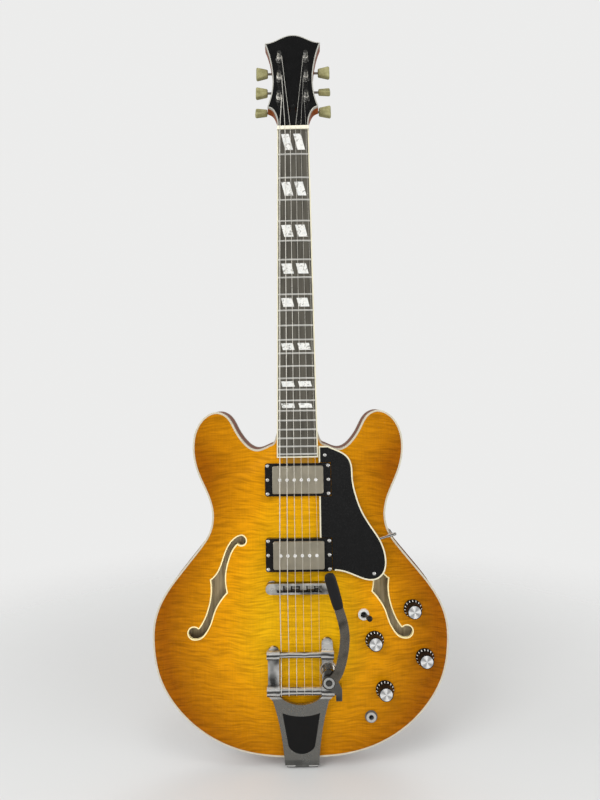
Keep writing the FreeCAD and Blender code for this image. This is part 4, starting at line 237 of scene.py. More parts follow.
def new_group(name, inputs, outputs):
    """An empty node group with named sockets, or the one made before."""
    group = bpy.data.node_groups.get(name)
    if group:
        return group, None, None
    group = bpy.data.node_groups.new(name, "ShaderNodeTree")
    for label, default in inputs:
        socket = group.interface.new_socket(name=label, in_out="INPUT", socket_type="NodeSocketFloat")
        socket.default_value = default
    for label in outputs:
        group.interface.new_socket(name=label, in_out="OUTPUT", socket_type="NodeSocketFloat")
    return group, group.nodes.new("NodeGroupInput"), group.nodes.new("NodeGroupOutput")


def use(tree, group, **values):
    """A placed node group with its inputs set."""
    node = tree.nodes.new("ShaderNodeGroup")
    node.node_tree = group
    for name, value in values.items():
        node.inputs[name].default_value = value
    return node


def feed(tree, source, target):
    """Link a socket to another, or set it to a plain value."""
    if isinstance(source, bpy.types.NodeSocket):
        tree.links.new(source, target)
    else:
        target.default_value = source


def add(tree, kind, links=None, **values):
    """A node with its properties and inputs set."""
    node = tree.nodes.new(kind)
    for name, value in values.items():
        setattr(node, name, value)
    for socket, source in (links or {}).items():
        feed(tree, source, node.inputs[socket])
    return node


def ramp(tree, source, stops):
    """A colour ramp with its stops given as place and colour."""
    node = add(tree, "ShaderNodeValToRGB", {"Fac": source})
    elements = node.color_ramp.elements
    while len(elements) < len(stops):
        elements.new(0.5)
    for element, (place, colour) in zip(elements, stops):
        element.position = place
        element.color = (*colour, 1.0)
    return node.outputs["Color"]


def maths(tree, operation, a, b=0.5, c=0.5):
    """The result of one sum on sockets or numbers."""
    return add(tree, "ShaderNodeMath", {0: a, 1: b, 2: c}, operation=operation).outputs[0]


def vector_maths(tree, operation, links, result="Vector"):
    """The result of one sum on vectors."""
    return add(tree, "ShaderNodeVectorMath", links, operation=operation).outputs[result]


def mixed(tree, factor, a, b, blend="MIX"):
    """Two colours, blended by a factor."""
    node = add(tree, "ShaderNodeMix", data_type="RGBA", blend_type=blend)
    for place, source in ((0, factor), (6, a), (7, b)):
        if isinstance(source, tuple):
            source = (*source, 1.0)
        feed(tree, source, node.inputs[place])
    return node.outputs[2]


def object_place(tree):
    """The surface's place in the object's own coordinates."""
    return add(tree, "ShaderNodeTexCoord").outputs["Object"]


def split(tree, vector):
    """A vector's X, Y and Z."""
    return add(tree, "ShaderNodeSeparateXYZ", {0: vector}).outputs


def joined(tree, across, up):
    """A vector from across and up, level from front to back."""
    return add(tree, "ShaderNodeCombineXYZ", {"X": across, "Y": 0.0, "Z": up}).outputs[0]


def noise(tree, place, scale, detail, **values):
    """Cloudy noise about a place."""
    links = {"Vector": place, "Scale": scale, "Detail": detail, **values}
    return add(tree, "ShaderNodeTexNoise", links).outputs["Fac"]


def eased(tree, value, start, end, first, last, way="SMOOTHSTEP"):
    """First up to the start, last from the end on, and a smooth change between them."""
    links = {"Value": value, "From Min": start, "From Max": end, "To Min": first, "To Max": last}
    return add(tree, "ShaderNodeMapRange", links, interpolation_type=way).outputs[0]


def lifted_wave(tree, value):
    """A wave between -1 and 1, brought between 0 and 1."""
    return maths(tree, "MULTIPLY_ADD", value, 0.5, 0.5)


def distance(tree, across, up):
    """How far a place lies from an axis, from its two offsets."""
    squares = maths(tree, "ADD", maths(tree, "MULTIPLY", across, across), maths(tree, "MULTIPLY", up, up))
    return maths(tree, "SQRT", squares)


# Node groups


def scuff_group():
    """Fine hazy scuffs: a mask that varies over the surface and a height for bump."""
    group, source, result = new_group("Fine scuffs", [("Size", 120.0), ("Least", 0.2), ("Most", 0.4)],
                                      ["Roughness", "Height"])
    if source:
        cloud = noise(group, object_place(group), scale=source.outputs["Size"], detail=6.0)
        spread = eased(group, cloud, start=0.3, end=0.7, first=source.outputs["Least"],
                       last=source.outputs["Most"], way="LINEAR")
        group.links.new(spread, result.inputs["Roughness"])
        group.links.new(cloud, result.inputs["Height"])
    return group


def flame_group():
    """Rippled maple figure across the grain, matched about the centre line, with fine grain lines."""
    group, source, result = new_group("Flame figure", [("Ripple", 360.0), ("Grain", 900.0)],
                                      ["Figure", "Fine grain"])
    if source:
        parts = split(group, object_place(group))
        across = maths(group, "ABSOLUTE", parts["X"])
        drift = noise(group, joined(group, across, parts["Z"]), scale=9.0, detail=2.0)
        climbed = maths(group, "ADD", parts["Z"], maths(group, "MULTIPLY", drift, FLAME_WANDER))
        squeezed = joined(group, maths(group, "MULTIPLY", across, FLAME_STRETCH), climbed)
        bands = noise(group, squeezed, scale=source.outputs["Ripple"], detail=3.0, Roughness=0.55)
        lines = joined(group, parts["X"], maths(group, "MULTIPLY", parts["Z"], FINE_GRAIN_STRETCH))
        fine = noise(group, lines, scale=source.outputs["Grain"], detail=4.0)
        group.links.new(bands, result.inputs["Figure"])
        group.links.new(fine, result.inputs["Fine grain"])
    return group


def burst_group():
    """How far a place on the body lies towards its edge, from 0 in the middle to about 1."""
    group, source, result = new_group("Burst", [("Across", 0.2), ("Up", 0.4), ("Down", 0.2)], ["Edge"])
    if source:
        parts = split(group, object_place(group))
        lifted = maths(group, "SUBTRACT", parts["Z"], (TAIL_RISE + BURST_MIDDLE) * MM)
        waist = eased(group, lifted, start=0.0, end=0.21, first=1.0, last=0.74)
        horns = eased(group, lifted, start=0.22, end=0.3, first=1.0, last=1.6)
        reach = maths(group, "MULTIPLY", source.outputs["Across"], maths(group, "MULTIPLY", waist, horns))
        across = maths(group, "DIVIDE", parts["X"], reach)
        above = maths(group, "GREATER_THAN", lifted, 0.0)
        room = maths(group, "SUBTRACT", source.outputs["Up"], source.outputs["Down"])
        up = maths(group, "DIVIDE", lifted,
                   maths(group, "MULTIPLY_ADD", above, room, source.outputs["Down"]))
        group.links.new(distance(group, across, up), result.inputs["Edge"])
    return group


def painted_reflection_group():
    """Painted reflection: dark and bright bands that follow the way a polished surface faces."""
    group, source, result = new_group("Painted reflection bands", [("Bands", 7.0)], ["Bright"])
    if source:
        coordinates = add(group, "ShaderNodeTexCoord")
        facing = split(group, coordinates.outputs["Normal"])
        cloud = noise(group, coordinates.outputs["Object"], scale=45.0, detail=2.0)
        shift = maths(group, "MULTIPLY", cloud, BAND_CLOUD)
        sideways = maths(group, "MULTIPLY_ADD", facing["X"], BAND_SIDEWAYS, shift)
        turned = maths(group, "MULTIPLY_ADD", facing["Z"], source.outputs["Bands"], sideways)
        bright = lifted_wave(group, maths(group, "SINE", turned))
        group.links.new(bright, result.inputs["Bright"])
    return group


# Materials, where haze is the least and the most roughness of a surface


def new_material(name, base, roughness, metallic=0.0, coat=0.0, sheen=0.3):
    """A principled material whose plain values sit on the shader's own sockets."""
    material = bpy.data.materials.new(name)
    material.use_nodes = True
    tree = material.node_tree
    shader = tree.nodes["Principled BSDF"]
    shader.inputs["Base Color"].default_value = (*base, 1.0)
    shader.inputs["Roughness"].default_value = roughness
    shader.inputs["Metallic"].default_value = metallic
    shader.inputs["Coat Weight"].default_value = coat
    shader.inputs["Specular IOR Level"].default_value = sheen
    shader.inputs["Coat Roughness"].default_value = 0.05
    return material, tree, shader


def bumped(tree, shader, height, strength, depth):
    """Let a height stand out from the surface."""
    bump = add(tree, "ShaderNodeBump", {"Height": height, "Strength": strength, "Distance": depth})
    tree.links.new(bump.outputs[0], shader.inputs["Normal"])


def scuffed(tree, shader, size, haze, strength=0.0):
    """Vary the roughness over the surface, and bump it where a strength is given."""
    scuffs = use(tree, scuff_group(), Size=size, Least=haze[0], Most=haze[1])
    tree.links.new(scuffs.outputs["Roughness"], shader.inputs["Roughness"])
    if strength:
        bumped(tree, shader, scuffs.outputs["Height"], strength, SCUFF_DEPTH)


def tone_or_painted_reflection(tree, colour, darkest):
    """A metal's tone: clouded at random, or painted reflection bands where its darkest tone is much darker.
    """
    if darkest < PAINTED_REFLECTION_BELOW:
        source = use(tree, painted_reflection_group()).outputs["Bright"]
        start, end = 0.2, 0.8
    else:
        source = noise(tree, object_place(tree), scale=60.0, detail=3.0)
        start, end = 0.35, 0.65
    return ramp(tree, source, [(start, shaded(colour, darkest)), (end, colour)])


def metal(name, colour, haze, strength=0.03, metallic=1.0, darkest=0.86):
    """Metal with a haze and tone that vary over it; where its darkest tone is low, the tone is painted
    reflection bands.
    """
    material, tree, shader = new_material(name, colour, haze[0], metallic=metallic)
    scuffed(tree, shader, METAL_SCUFFS, haze, strength)
    tree.links.new(tone_or_painted_reflection(tree, colour, darkest), shader.inputs["Base Color"])
    return material


def two_tone_metal(name, colour, other, axis, start, haze, metallic=(1.0, 1.0), darkest=(0.86, 0.86)):
    """Metal that changes beyond a place along one axis to another finish, or to painted shade in a recess."""
    material, tree, shader = new_material(name, colour, haze[0], metallic=metallic[0])
    beyond = maths(tree, "GREATER_THAN", split(tree, object_place(tree))[axis], start * MM)
    shades = (tone_or_painted_reflection(tree, colour, darkest[0]), tone_or_painted_reflection(tree, other, darkest[1]))
    tree.links.new(mixed(tree, beyond, *shades), shader.inputs["Base Color"])
    blend = maths(tree, "MULTIPLY_ADD", beyond, metallic[1] - metallic[0], metallic[0])
    tree.links.new(blend, shader.inputs["Metallic"])
    scuffed(tree, shader, size=90.0, haze=haze)
    return material


def ringed_metal(name, colour, centre, reach, stops, haze, metallic, darkest):
    """Metal with painted reflection bands, and rings of other tones about an axis that runs front to back."""
    material, tree, shader = new_material(name, colour, haze[0], metallic=metallic)
    scuffed(tree, shader, METAL_SCUFFS, haze, strength=0.03)
    axis = (centre[0] * MM, 0.0, (centre[1] + TAIL_RISE) * MM)
    offset = vector_maths(tree, "SUBTRACT", {0: object_place(tree), 1: axis})
    level = vector_maths(tree, "MULTIPLY", {0: offset, 1: (1.0, 0.0, 1.0)})
    radius = vector_maths(tree, "LENGTH", {0: level}, "Value")
    share = maths(tree, "DIVIDE", radius, reach * MM)
    outside = maths(tree, "GREATER_THAN", share, 1.0)
    tone = mixed(tree, outside, ramp(tree, share, stops), tone_or_painted_reflection(tree, colour, darkest))
    tree.links.new(tone, shader.inputs["Base Color"])
    return material


def plastic(name, colour, haze, coat=0.0, strength=0.02, head=None):
    """Moulded or polished plastic with a faint mottle and fine scuffs, and a darker colour on the headstock
    that is painted shade.
    """
    material, tree, shader = new_material(name, colour, haze[0], coat=coat)
    scuffed(tree, shader, PLASTIC_SCUFFS, haze, strength)
    place = object_place(tree)
    mottle = noise(tree, place, scale=PLASTIC_MOTTLE, detail=4.0)
    shade = ramp(tree, mottle, [(0.3, shaded(colour, 1 - MOTTLE_SPREAD)),
                                (0.7, shaded(colour, 1 + MOTTLE_SPREAD))])
    if head:
        above = maths(tree, "GREATER_THAN", split(tree, place)["Z"], HEAD_START * MM)
        shade = mixed(tree, above, shade, head)
    tree.links.new(shade, shader.inputs["Base Color"])
    return material


def drawn_grain(tree, place, stretch, scale, detail):
    """Grain that is drawn out along the guitar."""
    drawn = add(tree, "ShaderNodeMapping", {"Vector": place, "Scale": (1.0, 1.0, stretch)}).outputs[0]
    return noise(tree, drawn, scale, detail)


def inner_wood(tree, outer):
    """Raw wood on a plate's inner face, which looks towards the front, and the finish elsewhere."""
    normal = add(tree, "ShaderNodeNewGeometry").outputs["Normal"]
    inside = maths(tree, "LESS_THAN", split(tree, normal)["Y"], INNER_FACE_LIMIT)
    grain = drawn_grain(tree, object_place(tree), RAW_STRETCH, scale=300.0, detail=5.0)
    raw = ramp(tree, grain, [(0.36, INNER_DARK), (0.62, INNER_PALE)])
    return mixed(tree, inside, outer, raw)


def burst_wood(name, finish, hollow=False):
    """Figured maple under a tinted clear coat that darkens towards the body's edge."""
    material, tree, shader = new_material(name, finish.centre_colour, roughness=0.36, coat=0.05, sheen=0.06)
    burst = use(tree, burst_group(), Across=finish.burst_across, Up=finish.burst_up, Down=finish.burst_down)
    flame = use(tree, flame_group())
    tint = ramp(tree, burst.outputs["Edge"], [(0.25, tuple(finish.centre_colour)),
                                              (0.55, tuple(finish.middle_colour)),
                                              (1.0, tuple(finish.edge_colour))])
    figure = ramp(tree, flame.outputs["Figure"], [(0.36, grey(FIGURE_DARK)), (0.50, grey(FIGURE_PLAIN)),
                                                 (0.66, grey(FIGURE_BRIGHT))])
    rich = mixed(tree, 1.0, tint, figure, "MULTIPLY")
    grain = ramp(tree, flame.outputs["Fine grain"], [(0.35, grey(FINE_GRAIN_DARK)), (0.6, grey(1.0))])
    colour = mixed(tree, 1.0, rich, grain, "MULTIPLY")
    if hollow:
        colour = inner_wood(tree, colour)
    tree.links.new(colour, shader.inputs["Base Color"])
    scuffed(tree, shader, size=70.0, haze=(0.22, 0.34))
    return material


def stained_wood(name, colour, haze, coat=0.0, tongue=0.0):
    """Straight-grained wood along the guitar's length, tinted as the top below the tongue's height."""
    material, tree, shader = new_material(name, colour, haze[0], coat=coat)
    place = object_place(tree)
    grain = drawn_grain(tree, place, STAIN_STRETCH, scale=260.0, detail=6.0)
    shade = ramp(tree, grain, [(0.34, shaded(colour, STAIN_DARK)), (0.62, colour)])
    if tongue:
        below = maths(tree, "LESS_THAN", split(tree, place)["Z"], tongue * MM)
        shade = mixed(tree, below, shade, TONGUE_TINT)
    tree.links.new(shade, shader.inputs["Base Color"])
    scuffed(tree, shader, size=160.0, haze=haze)
    bumped(tree, shader, grain, strength=0.12, depth=GRAIN_DEPTH)
    return material


def pearl_material():
    """Cloudy pearl with soft swirls."""
    material, tree, shader = new_material("pearl", PEARL, roughness=0.2, coat=0.4)
    warp = noise(tree, object_place(tree), scale=120.0, detail=2.0, Distortion=2.0)
    tree.links.new(ramp(tree, warp, PEARL_SWIRLS), shader.inputs["Base Color"])
    return material


def key_material():
    """Nickel worm shaft with an aged plastic button."""
    material, tree, shader = new_material("tuner_key", KEY_PLASTIC, roughness=0.3)
    place = object_place(tree)
    reach = maths(tree, "ABSOLUTE", split(tree, place)["X"])
    button = maths(tree, "GREATER_THAN", reach, KEY_BUTTON_START * MM)
    cream = ramp(tree, noise(tree, place, scale=110.0, detail=3.0), [(0.3, KEY_DARK), (0.7, KEY_PALE)])
    tree.links.new(mixed(tree, button, SHAFT_NICKEL, cream), shader.inputs["Base Color"])
    tree.links.new(maths(tree, "SUBTRACT", 1.0, button), shader.inputs["Metallic"])
    scuffed(tree, shader, size=220.0, haze=(0.2, 0.36))
    return material


def knob_material(name, centre):
    """Black knob with white scale marks round its skirt and a turned silver cap with fans of painted sheen.
    """
    material, tree, shader = new_material(name, KNOB_BLACK, roughness=0.22, sheen=0.08)
    parts = split(tree, object_place(tree))
    across = maths(tree, "SUBTRACT", parts["X"], centre[0] * MM)
    up = maths(tree, "SUBTRACT", parts["Z"], (centre[1] + TAIL_RISE) * MM)
    radius = distance(tree, across, up)
    angle = maths(tree, "ARCTAN2", up, across)
    turns = maths(tree, "MULTIPLY", angle, MARK_COUNT / math.tau)
    stripe = maths(tree, "LESS_THAN", maths(tree, "FRACT", turns), MARK_SHARE)
    ring = maths(tree, "MULTIPLY", maths(tree, "GREATER_THAN", radius, MARK_INNER * MM),
                 maths(tree, "LESS_THAN", radius, MARK_OUTER * MM))
    mark = maths(tree, "MULTIPLY", stripe, ring)
    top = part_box(name)[0][1] + CAP_EDGE * MM
    facing = maths(tree, "LESS_THAN", parts["Y"], top)
    cap = maths(tree, "MULTIPLY", maths(tree, "LESS_THAN", radius, CAP_RADIUS * MM), facing)
    dotted = mixed(tree, mark, KNOB_BLACK, KNOB_MARKS)
    # Painted sheen: fans of dark and bright round the cap, set by angle
    fans = lifted_wave(tree, maths(tree, "SINE", maths(tree, "MULTIPLY_ADD", angle, CAP_FANS, CAP_FAN_TURN)))
    painted_sheen = ramp(tree, fans, [(0.1, CAP_PAINTED_SHEEN_DARK), (0.9, CAP_PAINTED_SHEEN_BRIGHT)])
    tree.links.new(mixed(tree, cap, dotted, painted_sheen), shader.inputs["Base Color"])
    tree.links.new(maths(tree, "MULTIPLY", cap, CAP_METALLIC), shader.inputs["Metallic"])
    rings = maths(tree, "SINE", maths(tree, "MULTIPLY", radius, CAP_LINES))
    bumped(tree, shader, maths(tree, "MULTIPLY", rings, cap), strength=0.4, depth=TURNING_DEPTH)
    scuffed(tree, shader, size=300.0, haze=(0.18, 0.32))
    return material


# Pieces


def dress(material, *names):
    """Give CAD nodes a material."""
    for name in names:
        slots = NODES[name].data.materials
        slots.clear()
        slots.append(material)


def finish_piece(name, mesh_source, material, body):
    """Turn a bmesh into a finished smooth piece that rides on a body."""
    mesh = bpy.data.meshes.new(name)
    mesh_source.to_mesh(mesh)
    mesh_source.free()
    for face in mesh.polygons:
        face.use_smooth = True
    piece = bpy.data.objects.new(name, mesh)
    bpy.context.scene.collection.objects.link(piece)
    mesh.materials.append(material)
    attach(piece, body)
    return piece


def make_floor(scene):
    """Pale floor that fades out away from the guitar and looks dark in its metals."""
    mesh = bmesh.new()
    bmesh.ops.create_grid(mesh, x_segments=1, y_segments=1, size=FLOOR_SIZE,
                          matrix=Matrix.Translation((0, 0, CAD_BOUNDS[0][2] - FLOOR_GAP)))
    data = bpy.data.meshes.new("floor")
    mesh.to_mesh(data)
    mesh.free()
    floor = bpy.data.objects.new("floor", data)
    scene.collection.objects.link(floor)
    material, tree, shader = new_material("floor_pale", FLOOR_COLOUR, roughness=0.8)
    data.materials.append(material)
    path = add(tree, "ShaderNodeLightPath")
    mirrored = mixed(tree, path.outputs["Is Glossy Ray"], FLOOR_COLOUR, FLOOR_MIRRORED)
    tree.links.new(mirrored, shader.inputs["Base Color"])
    far = vector_maths(tree, "LENGTH", {0: object_place(tree)}, "Value")
    kept = eased(tree, far, start=0.35, end=1.3, first=1.0, last=0.0)
    tree.links.new(kept, shader.inputs["Alpha"])


def make_world(scene, strength):
    """Even studio light, with a banded dome for shiny surfaces and a plain pale backdrop."""
    world = bpy.data.worlds.new("studio")
    scene.world = world
    world.use_nodes = True
    tree = world.node_tree
    sky = tree.nodes["Background"]
    path = add(tree, "ShaderNodeLightPath")
    height = split(tree, add(tree, "ShaderNodeTexCoord").outputs["Generated"])["Z"]
    dome = ramp(tree, lifted_wave(tree, height), DOME)
    lit = mixed(tree, path.outputs["Is Glossy Ray"], SKY_COLOUR, dome)
    seen = mixed(tree, path.outputs["Is Camera Ray"], lit, SKY_SEEN)
    tree.links.new(seen, sky.inputs["Color"])
    sky.inputs["Strength"].default_value = strength


def make_lamps(scene):
    """Round area lamps that aim at the middle of the guitar."""
    aim = Vector(LAMP_AIM)
    for name, place, size, power, mirrored in LAMPS:
        lamp = bpy.data.lights.new(name, "AREA")
        lamp.shape = "DISK"
        lamp.size = size
        lamp.energy = power
        item = bpy.data.objects.new(name, lamp)
        scene.collection.objects.link(item)
        item.location = place
        item.rotation_euler = (aim - Vector(place)).to_track_quat("-Z", "Y").to_euler()
        item.visible_glossy = mirrored


class GuitarFinish(bpy.types.PropertyGroup):
    """Sizes and colours of the finish that a user may change"""
    centre_colour: bpy.props.FloatVectorProperty(
        name="Centre colour", description="Tint in the middle of the body", subtype="COLOR", size=3,
        default=(0.63, 0.335, 0.003), min=0.0, max=1.0)
    middle_colour: bpy.props.FloatVectorProperty(
        name="Middle colour", description="Tint between centre and edge", subtype="COLOR", size=3,
        default=(0.61, 0.252, 0.002), min=0.0, max=1.0)
    edge_colour: bpy.props.FloatVectorProperty(
        name="Edge colour", description="Tint at the body's edge", subtype="COLOR", size=3,
        default=(0.27, 0.080, 0.001), min=0.0, max=1.0)
    burst_across: bpy.props.FloatProperty(
        name="Burst across", description="Half width of the pale field", default=0.19, min=0.05,
        subtype="DISTANCE")
    burst_up: bpy.props.FloatProperty(
        name="Burst up", description="Reach of the pale field upwards", default=0.465, min=0.05,
        subtype="DISTANCE")
    burst_down: bpy.props.FloatProperty(
        name="Burst down", description="Reach of the pale field downwards", default=0.21, min=0.05,
        subtype="DISTANCE")
    binding_colour: bpy.props.FloatVectorProperty(
        name="Binding colour", description="Aged cream of the bindings", subtype="COLOR", size=3,
        default=(0.62, 0.58, 0.43), min=0.0, max=1.0)
    sky_strength: bpy.props.FloatProperty(
        name="Sky strength", description="Brightness of the studio's dome", default=0.6, min=0.0)
    winding_turns: bpy.props.IntProperty(
        name="Turns on a post", description="Turns of string on each post", default=4, min=2, max=8)
    winding_gap: bpy.props.FloatProperty(
        name="Winding gap", description="Space between post and winding", default=0.00012, min=0.0,
        subtype="DISTANCE")


class GUITAR_OT_camera(bpy.types.Operator):
    """Place the camera where the photograph was taken from"""
    bl_idname = "guitar.camera"
    bl_label = "Camera"

    def execute(self, context):
        turn_x, turn_y, turn_z = CAMERA_TURNS
        turn = (Matrix.Rotation(turn_z, 3, "Z") @ Matrix.Rotation(turn_y, 3, "Y")
                @ Matrix.Rotation(turn_x, 3, "X"))
        frame_at = neck_frame()
        # The fit looks along its third axis with its second down, and a camera has up and back there
        axes = []
        for row, sign in ((0, 1), (1, -1), (2, -1)):
            across, down, ahead = turn[row]
            axes.append(sign * (frame_at.to_3x3() @ Vector((across, ahead, -down))))
        place = frame_at @ Vector(CAMERA_PLACE) * MM
        data = bpy.data.cameras.new("photo_camera")
        data.sensor_fit = "VERTICAL"
        data.sensor_height = SENSOR_HEIGHT
        data.lens = SENSOR_HEIGHT * FOCAL_PIXELS / IMAGE_HEIGHT
        data.clip_start = 0.01
        camera = bpy.data.objects.new("photo_camera", data)
        context.scene.collection.objects.link(camera)
        right, up, back = (axis.normalized() for axis in axes)
        camera.matrix_world = Matrix((
            (right.x, up.x, back.x, place.x), (right.y, up.y, back.y, place.y),
            (right.z, up.z, back.z, place.z), (0, 0, 0, 1)))
        context.scene.camera = camera
        return {"FINISHED"}


class GUITAR_OT_wood(bpy.types.Operator):
    """Give the body, neck and fingerboard their woods"""
    bl_idname = "guitar.wood"
    bl_label = "Woods"

    def execute(self, context):
        finish = context.scene.guitar_finish
        dress(burst_wood("burst_maple", finish), "top_plate")
        dress(burst_wood("burst_maple_back", finish, hollow=True), "back_plate")
        dress(stained_wood("stained_side", SIDE_STAIN, (0.3, 0.42), coat=0.06), "rim")
        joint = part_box("fingerboard")[0][2] / MM
        dress(stained_wood("stained_neck", SIDE_STAIN, (0.3, 0.42), coat=0.06, tongue=joint), "neck")
        dress(stained_wood("ebony", EBONY, (0.36, 0.52)), "fingerboard")
        dress(stained_wood("raw_wood", RAW_WOOD, (0.6, 0.8)), "centre_block", "contour_braces", "linings")
        return {"FINISHED"}


class GUITAR_OT_trim(bpy.types.Operator):
    """Give bindings, inlays, plates and other plastics their finishes"""
    bl_idname = "guitar.trim"
    bl_label = "Trim"

    def execute(self, context):
        cream = tuple(context.scene.guitar_finish.binding_colour)
        # The neck's binding turns darker on the headstock as painted shade
        dress(plastic("cream_binding", cream, (0.25, 0.4), coat=0.1, head=HEAD_BINDING_PAINTED_SHADE), "neck_binding",
              "pickguard_binding")
        dress(plastic("warm_binding", WARM_BINDING, (0.25, 0.4), coat=0.3), "f_hole_binding")
        # The body's binding is painted darker as shade along the body's edge
        dress(plastic("binding_painted_shade", BINDING_PAINTED_SHADE, (0.25, 0.4), coat=0.3), "body_binding")
        dress(pearl_material(), "fret_inlays")
        dress(plastic("bone", BONE, (0.3, 0.45)), "nut")
        dress(plastic("black_face", grey(0.007), (0.12, 0.2), coat=0.2), "headstock_veneer",
              "truss_rod_cover")
        dress(plastic("black_plate", grey(0.009), (0.2, 0.32)), "pickguard", "pickup_rings")
        dress(plastic("black_grip", GRIP_BLACK, (0.35, 0.5), strength=0.2), "handle_grip")
        dress(plastic("black_inset", grey(0.008), (0.4, 0.55)), "frame_inset")
        dress(plastic("black_bobbin", grey(0.02), (0.4, 0.5)), "pickup_coils")
        dress(plastic("lever_black", BLACKENED, (0.2, 0.3)), "switch_lever")
        return {"FINISHED"}


class GUITAR_OT_hardware(bpy.types.Operator):
    """Give the metal pieces their finishes"""
    bl_idname = "guitar.hardware"
    bl_label = "Hardware"

    def execute(self, context):
        tuners = range(1, len(STRING_DIAMETERS) + 1)
        dress(key_material(), *[f"tuner_key_{index}" for index in tuners])
        # Metals whose darkest tone is low get painted reflection bands from the way each face turns
        dress(metal("nickel", NICKEL, (0.14, 0.28), metallic=0.75, darkest=0.12), "tuner_housings",
              "tuner_bushings", "bridge_posts", "strap_buttons", *[f"tuner_post_{index}" for index in tuners])
        dress(metal("bright_nickel", BRIGHT_NICKEL, (0.08, 0.18), metallic=0.7, darkest=0.1), "tension_bar",
              "pickguard_bracket", "tail_hinge")
        dress(metal("brushed_nickel", COVER_NICKEL, (0.3, 0.42), strength=0.1, metallic=0.8), "pickup_covers")
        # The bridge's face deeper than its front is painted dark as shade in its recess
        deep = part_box("bridge_body")[0][1] / MM + BRIDGE_PAINTED_SHADE_DEPTH
        dress(two_tone_metal("bridge_nickel_and_painted_shade", NICKEL, SHADED_NICKEL, "Y", deep, (0.14, 0.26),
                             metallic=(0.7, 1.0), darkest=(0.2, 0.5)), "bridge_body")
        dress(metal("saddle_nickel", SADDLE_NICKEL, (0.14, 0.28), metallic=0.7, darkest=0.08),
              "bridge_saddles")
        dress(metal("pole_nickel", POLE_NICKEL, (0.1, 0.2), metallic=0.35), "pole_screws", "switch_body")
        dress(two_tone_metal("string_bar", BRIGHT_NICKEL, ROCKER_STEEL, "X", ROCKER_START, (0.1, 0.2),
                             metallic=(0.7, 1.0), darkest=(0.1, 0.4)), "string_bar")
        dress(two_tone_metal("screw_nickel", SCREW_NICKEL, BLACKENED, "Z", HEAD_START, (0.1, 0.2),
                             metallic=(0.7, 0.0)), "screws")
        dress(metal("fret_nickel", FRET_NICKEL, (0.25, 0.38), metallic=0.3), "frets", "truss_rod")
        dress(metal("string_steel", STRING_STEEL, (0.25, 0.38), metallic=0.5), "strings")
        dress(two_tone_metal("cast_grey", CAST_GREY, BRIGHT_NICKEL, "Z", ARMS_START, (0.18, 0.3),
                             metallic=(0.95, 0.7), darkest=(0.6, 0.1)), "vibrato_frame")
        dress(metal("spring_steel", SPRING_STEEL, (0.15, 0.3), darkest=0.15), "vibrato_spring")
        dress(ringed_metal("handle_steel", HANDLE_STEEL, HANDLE_PIVOT, BOSS_REACH, BOSS_RINGS, (0.2, 0.34),
                           metallic=0.85, darkest=0.4), "vibrato_handle")
        dress(ringed_metal("jack_nickel", JACK_NICKEL, JACK_PLACE, SOCKET_REACH, SOCKET_RINGS, (0.1, 0.2),
                           metallic=0.7, darkest=0.4), "output_jack")
        dress(metal("pot_steel", POT_STEEL, (0.3, 0.45)), "control_pots")
        return {"FINISHED"}


class GUITAR_OT_knobs(bpy.types.Operator):
    """Give the four control knobs their marked skirts and silver caps"""
    bl_idname = "guitar.knobs"
    bl_label = "Knobs"

    def execute(self, context):
        for index, centre in enumerate(KNOBS, start=1):
            name = f"knob_{index}"
            dress(knob_material(name, centre), name)
        return {"FINISHED"}


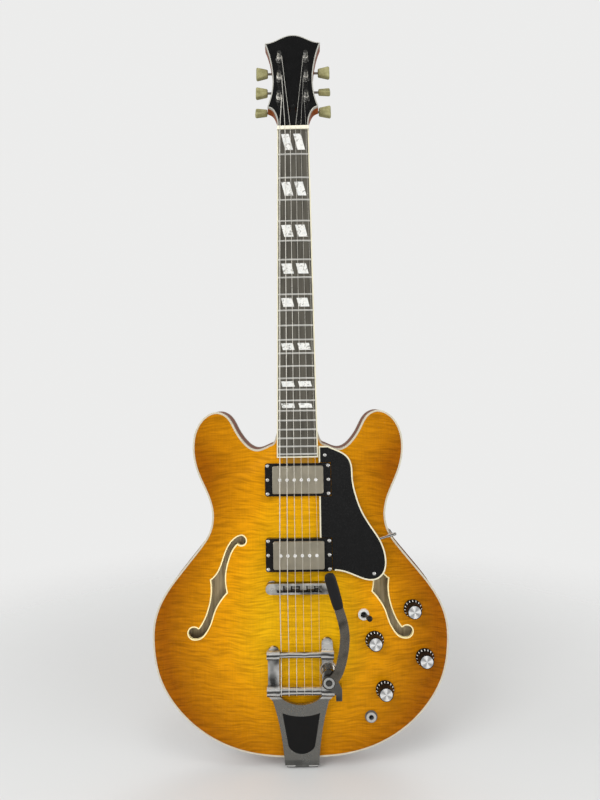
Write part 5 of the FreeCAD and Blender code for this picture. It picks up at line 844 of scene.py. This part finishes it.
class GUITAR_OT_windings(bpy.types.Operator):
    """Wind each string's end onto its post"""
    bl_idname = "guitar.windings"
    bl_label = "String windings"

    def execute(self, context):
        finish = context.scene.guitar_finish
        steel = bpy.data.materials["string_steel"]
        rows = [TUNER_FIRST + TUNER_PITCH * row for row in range(TUNERS_PER_SIDE)]
        places = [(-TUNER_COLUMN, up) for up in rows] + [(TUNER_COLUMN, up) for up in reversed(rows)]
        at = head_frame()
        for index, (across, up) in enumerate(places):
            radius = max(STRING_DIAMETERS[index] / 2, THINNEST_RADIUS)
            inward = -math.copysign(1, across)
            mesh = bmesh.new()
            reach = POST_RADIUS + finish.winding_gap / MM + radius
            start = Matrix.Translation((across + inward * reach, -WINDING_HEIGHT, up))
            ring = bmesh.ops.create_circle(mesh, segments=WINDING_SIDES, radius=radius, matrix=start)
            steps = finish.winding_turns * STEPS_PER_TURN
            drop = radius * WINDING_PITCH * finish.winding_turns / steps
            bmesh.ops.spin(mesh, geom=ring["verts"] + list(mesh.edges), cent=(across, 0.0, up),
                           axis=(0, inward, 0), dvec=(0, drop, 0), angle=math.tau * finish.winding_turns,
                           steps=steps)
            bmesh.ops.holes_fill(mesh, edges=[edge for edge in mesh.edges if edge.is_boundary], sides=0)
            bmesh.ops.recalc_face_normals(mesh, faces=mesh.faces)
            bmesh.ops.transform(mesh, matrix=Matrix.Scale(MM, 4) @ at, verts=mesh.verts)
            finish_piece(f"string_winding_{index + 1}", mesh, steel, "guitar")
        return {"FINISHED"}


class GUITAR_OT_stage(bpy.types.Operator):
    """Floor, lamps and world light"""
    bl_idname = "guitar.stage"
    bl_label = "Stage"

    def execute(self, context):
        scene = context.scene
        make_floor(scene)
        make_world(scene, scene.guitar_finish.sky_strength)
        make_lamps(scene)
        scene.view_settings.view_transform = "Standard"
        return {"FINISHED"}


class GUITAR_PT_panel(bpy.types.Panel):
    """The finish's values and one button for each group of pieces"""
    bl_label = "Guitar"
    bl_idname = "GUITAR_PT_panel"
    bl_space_type = "VIEW_3D"
    bl_region_type = "UI"
    bl_category = "Guitar"

    def draw(self, context):
        for name in GuitarFinish.__annotations__:
            self.layout.prop(context.scene.guitar_finish, name)
        for operator in OPERATORS:
            self.layout.operator(operator.bl_idname)


OPERATORS = (GUITAR_OT_camera, GUITAR_OT_wood, GUITAR_OT_trim, GUITAR_OT_hardware, GUITAR_OT_knobs,
             GUITAR_OT_windings, GUITAR_OT_stage)
CLASSES = (GuitarFinish, *OPERATORS, GUITAR_PT_panel)


def register():
    for item in CLASSES:
        bpy.utils.register_class(item)
    bpy.types.Scene.guitar_finish = bpy.props.PointerProperty(type=GuitarFinish)


def unregister():
    del bpy.types.Scene.guitar_finish
    for item in reversed(CLASSES):
        bpy.utils.unregister_class(item)


def main():
    register()
    for operator in OPERATORS:
        group, name = operator.bl_idname.split(".")
        getattr(getattr(bpy.ops, group), name)()


if __name__ == "__main__":
    main()
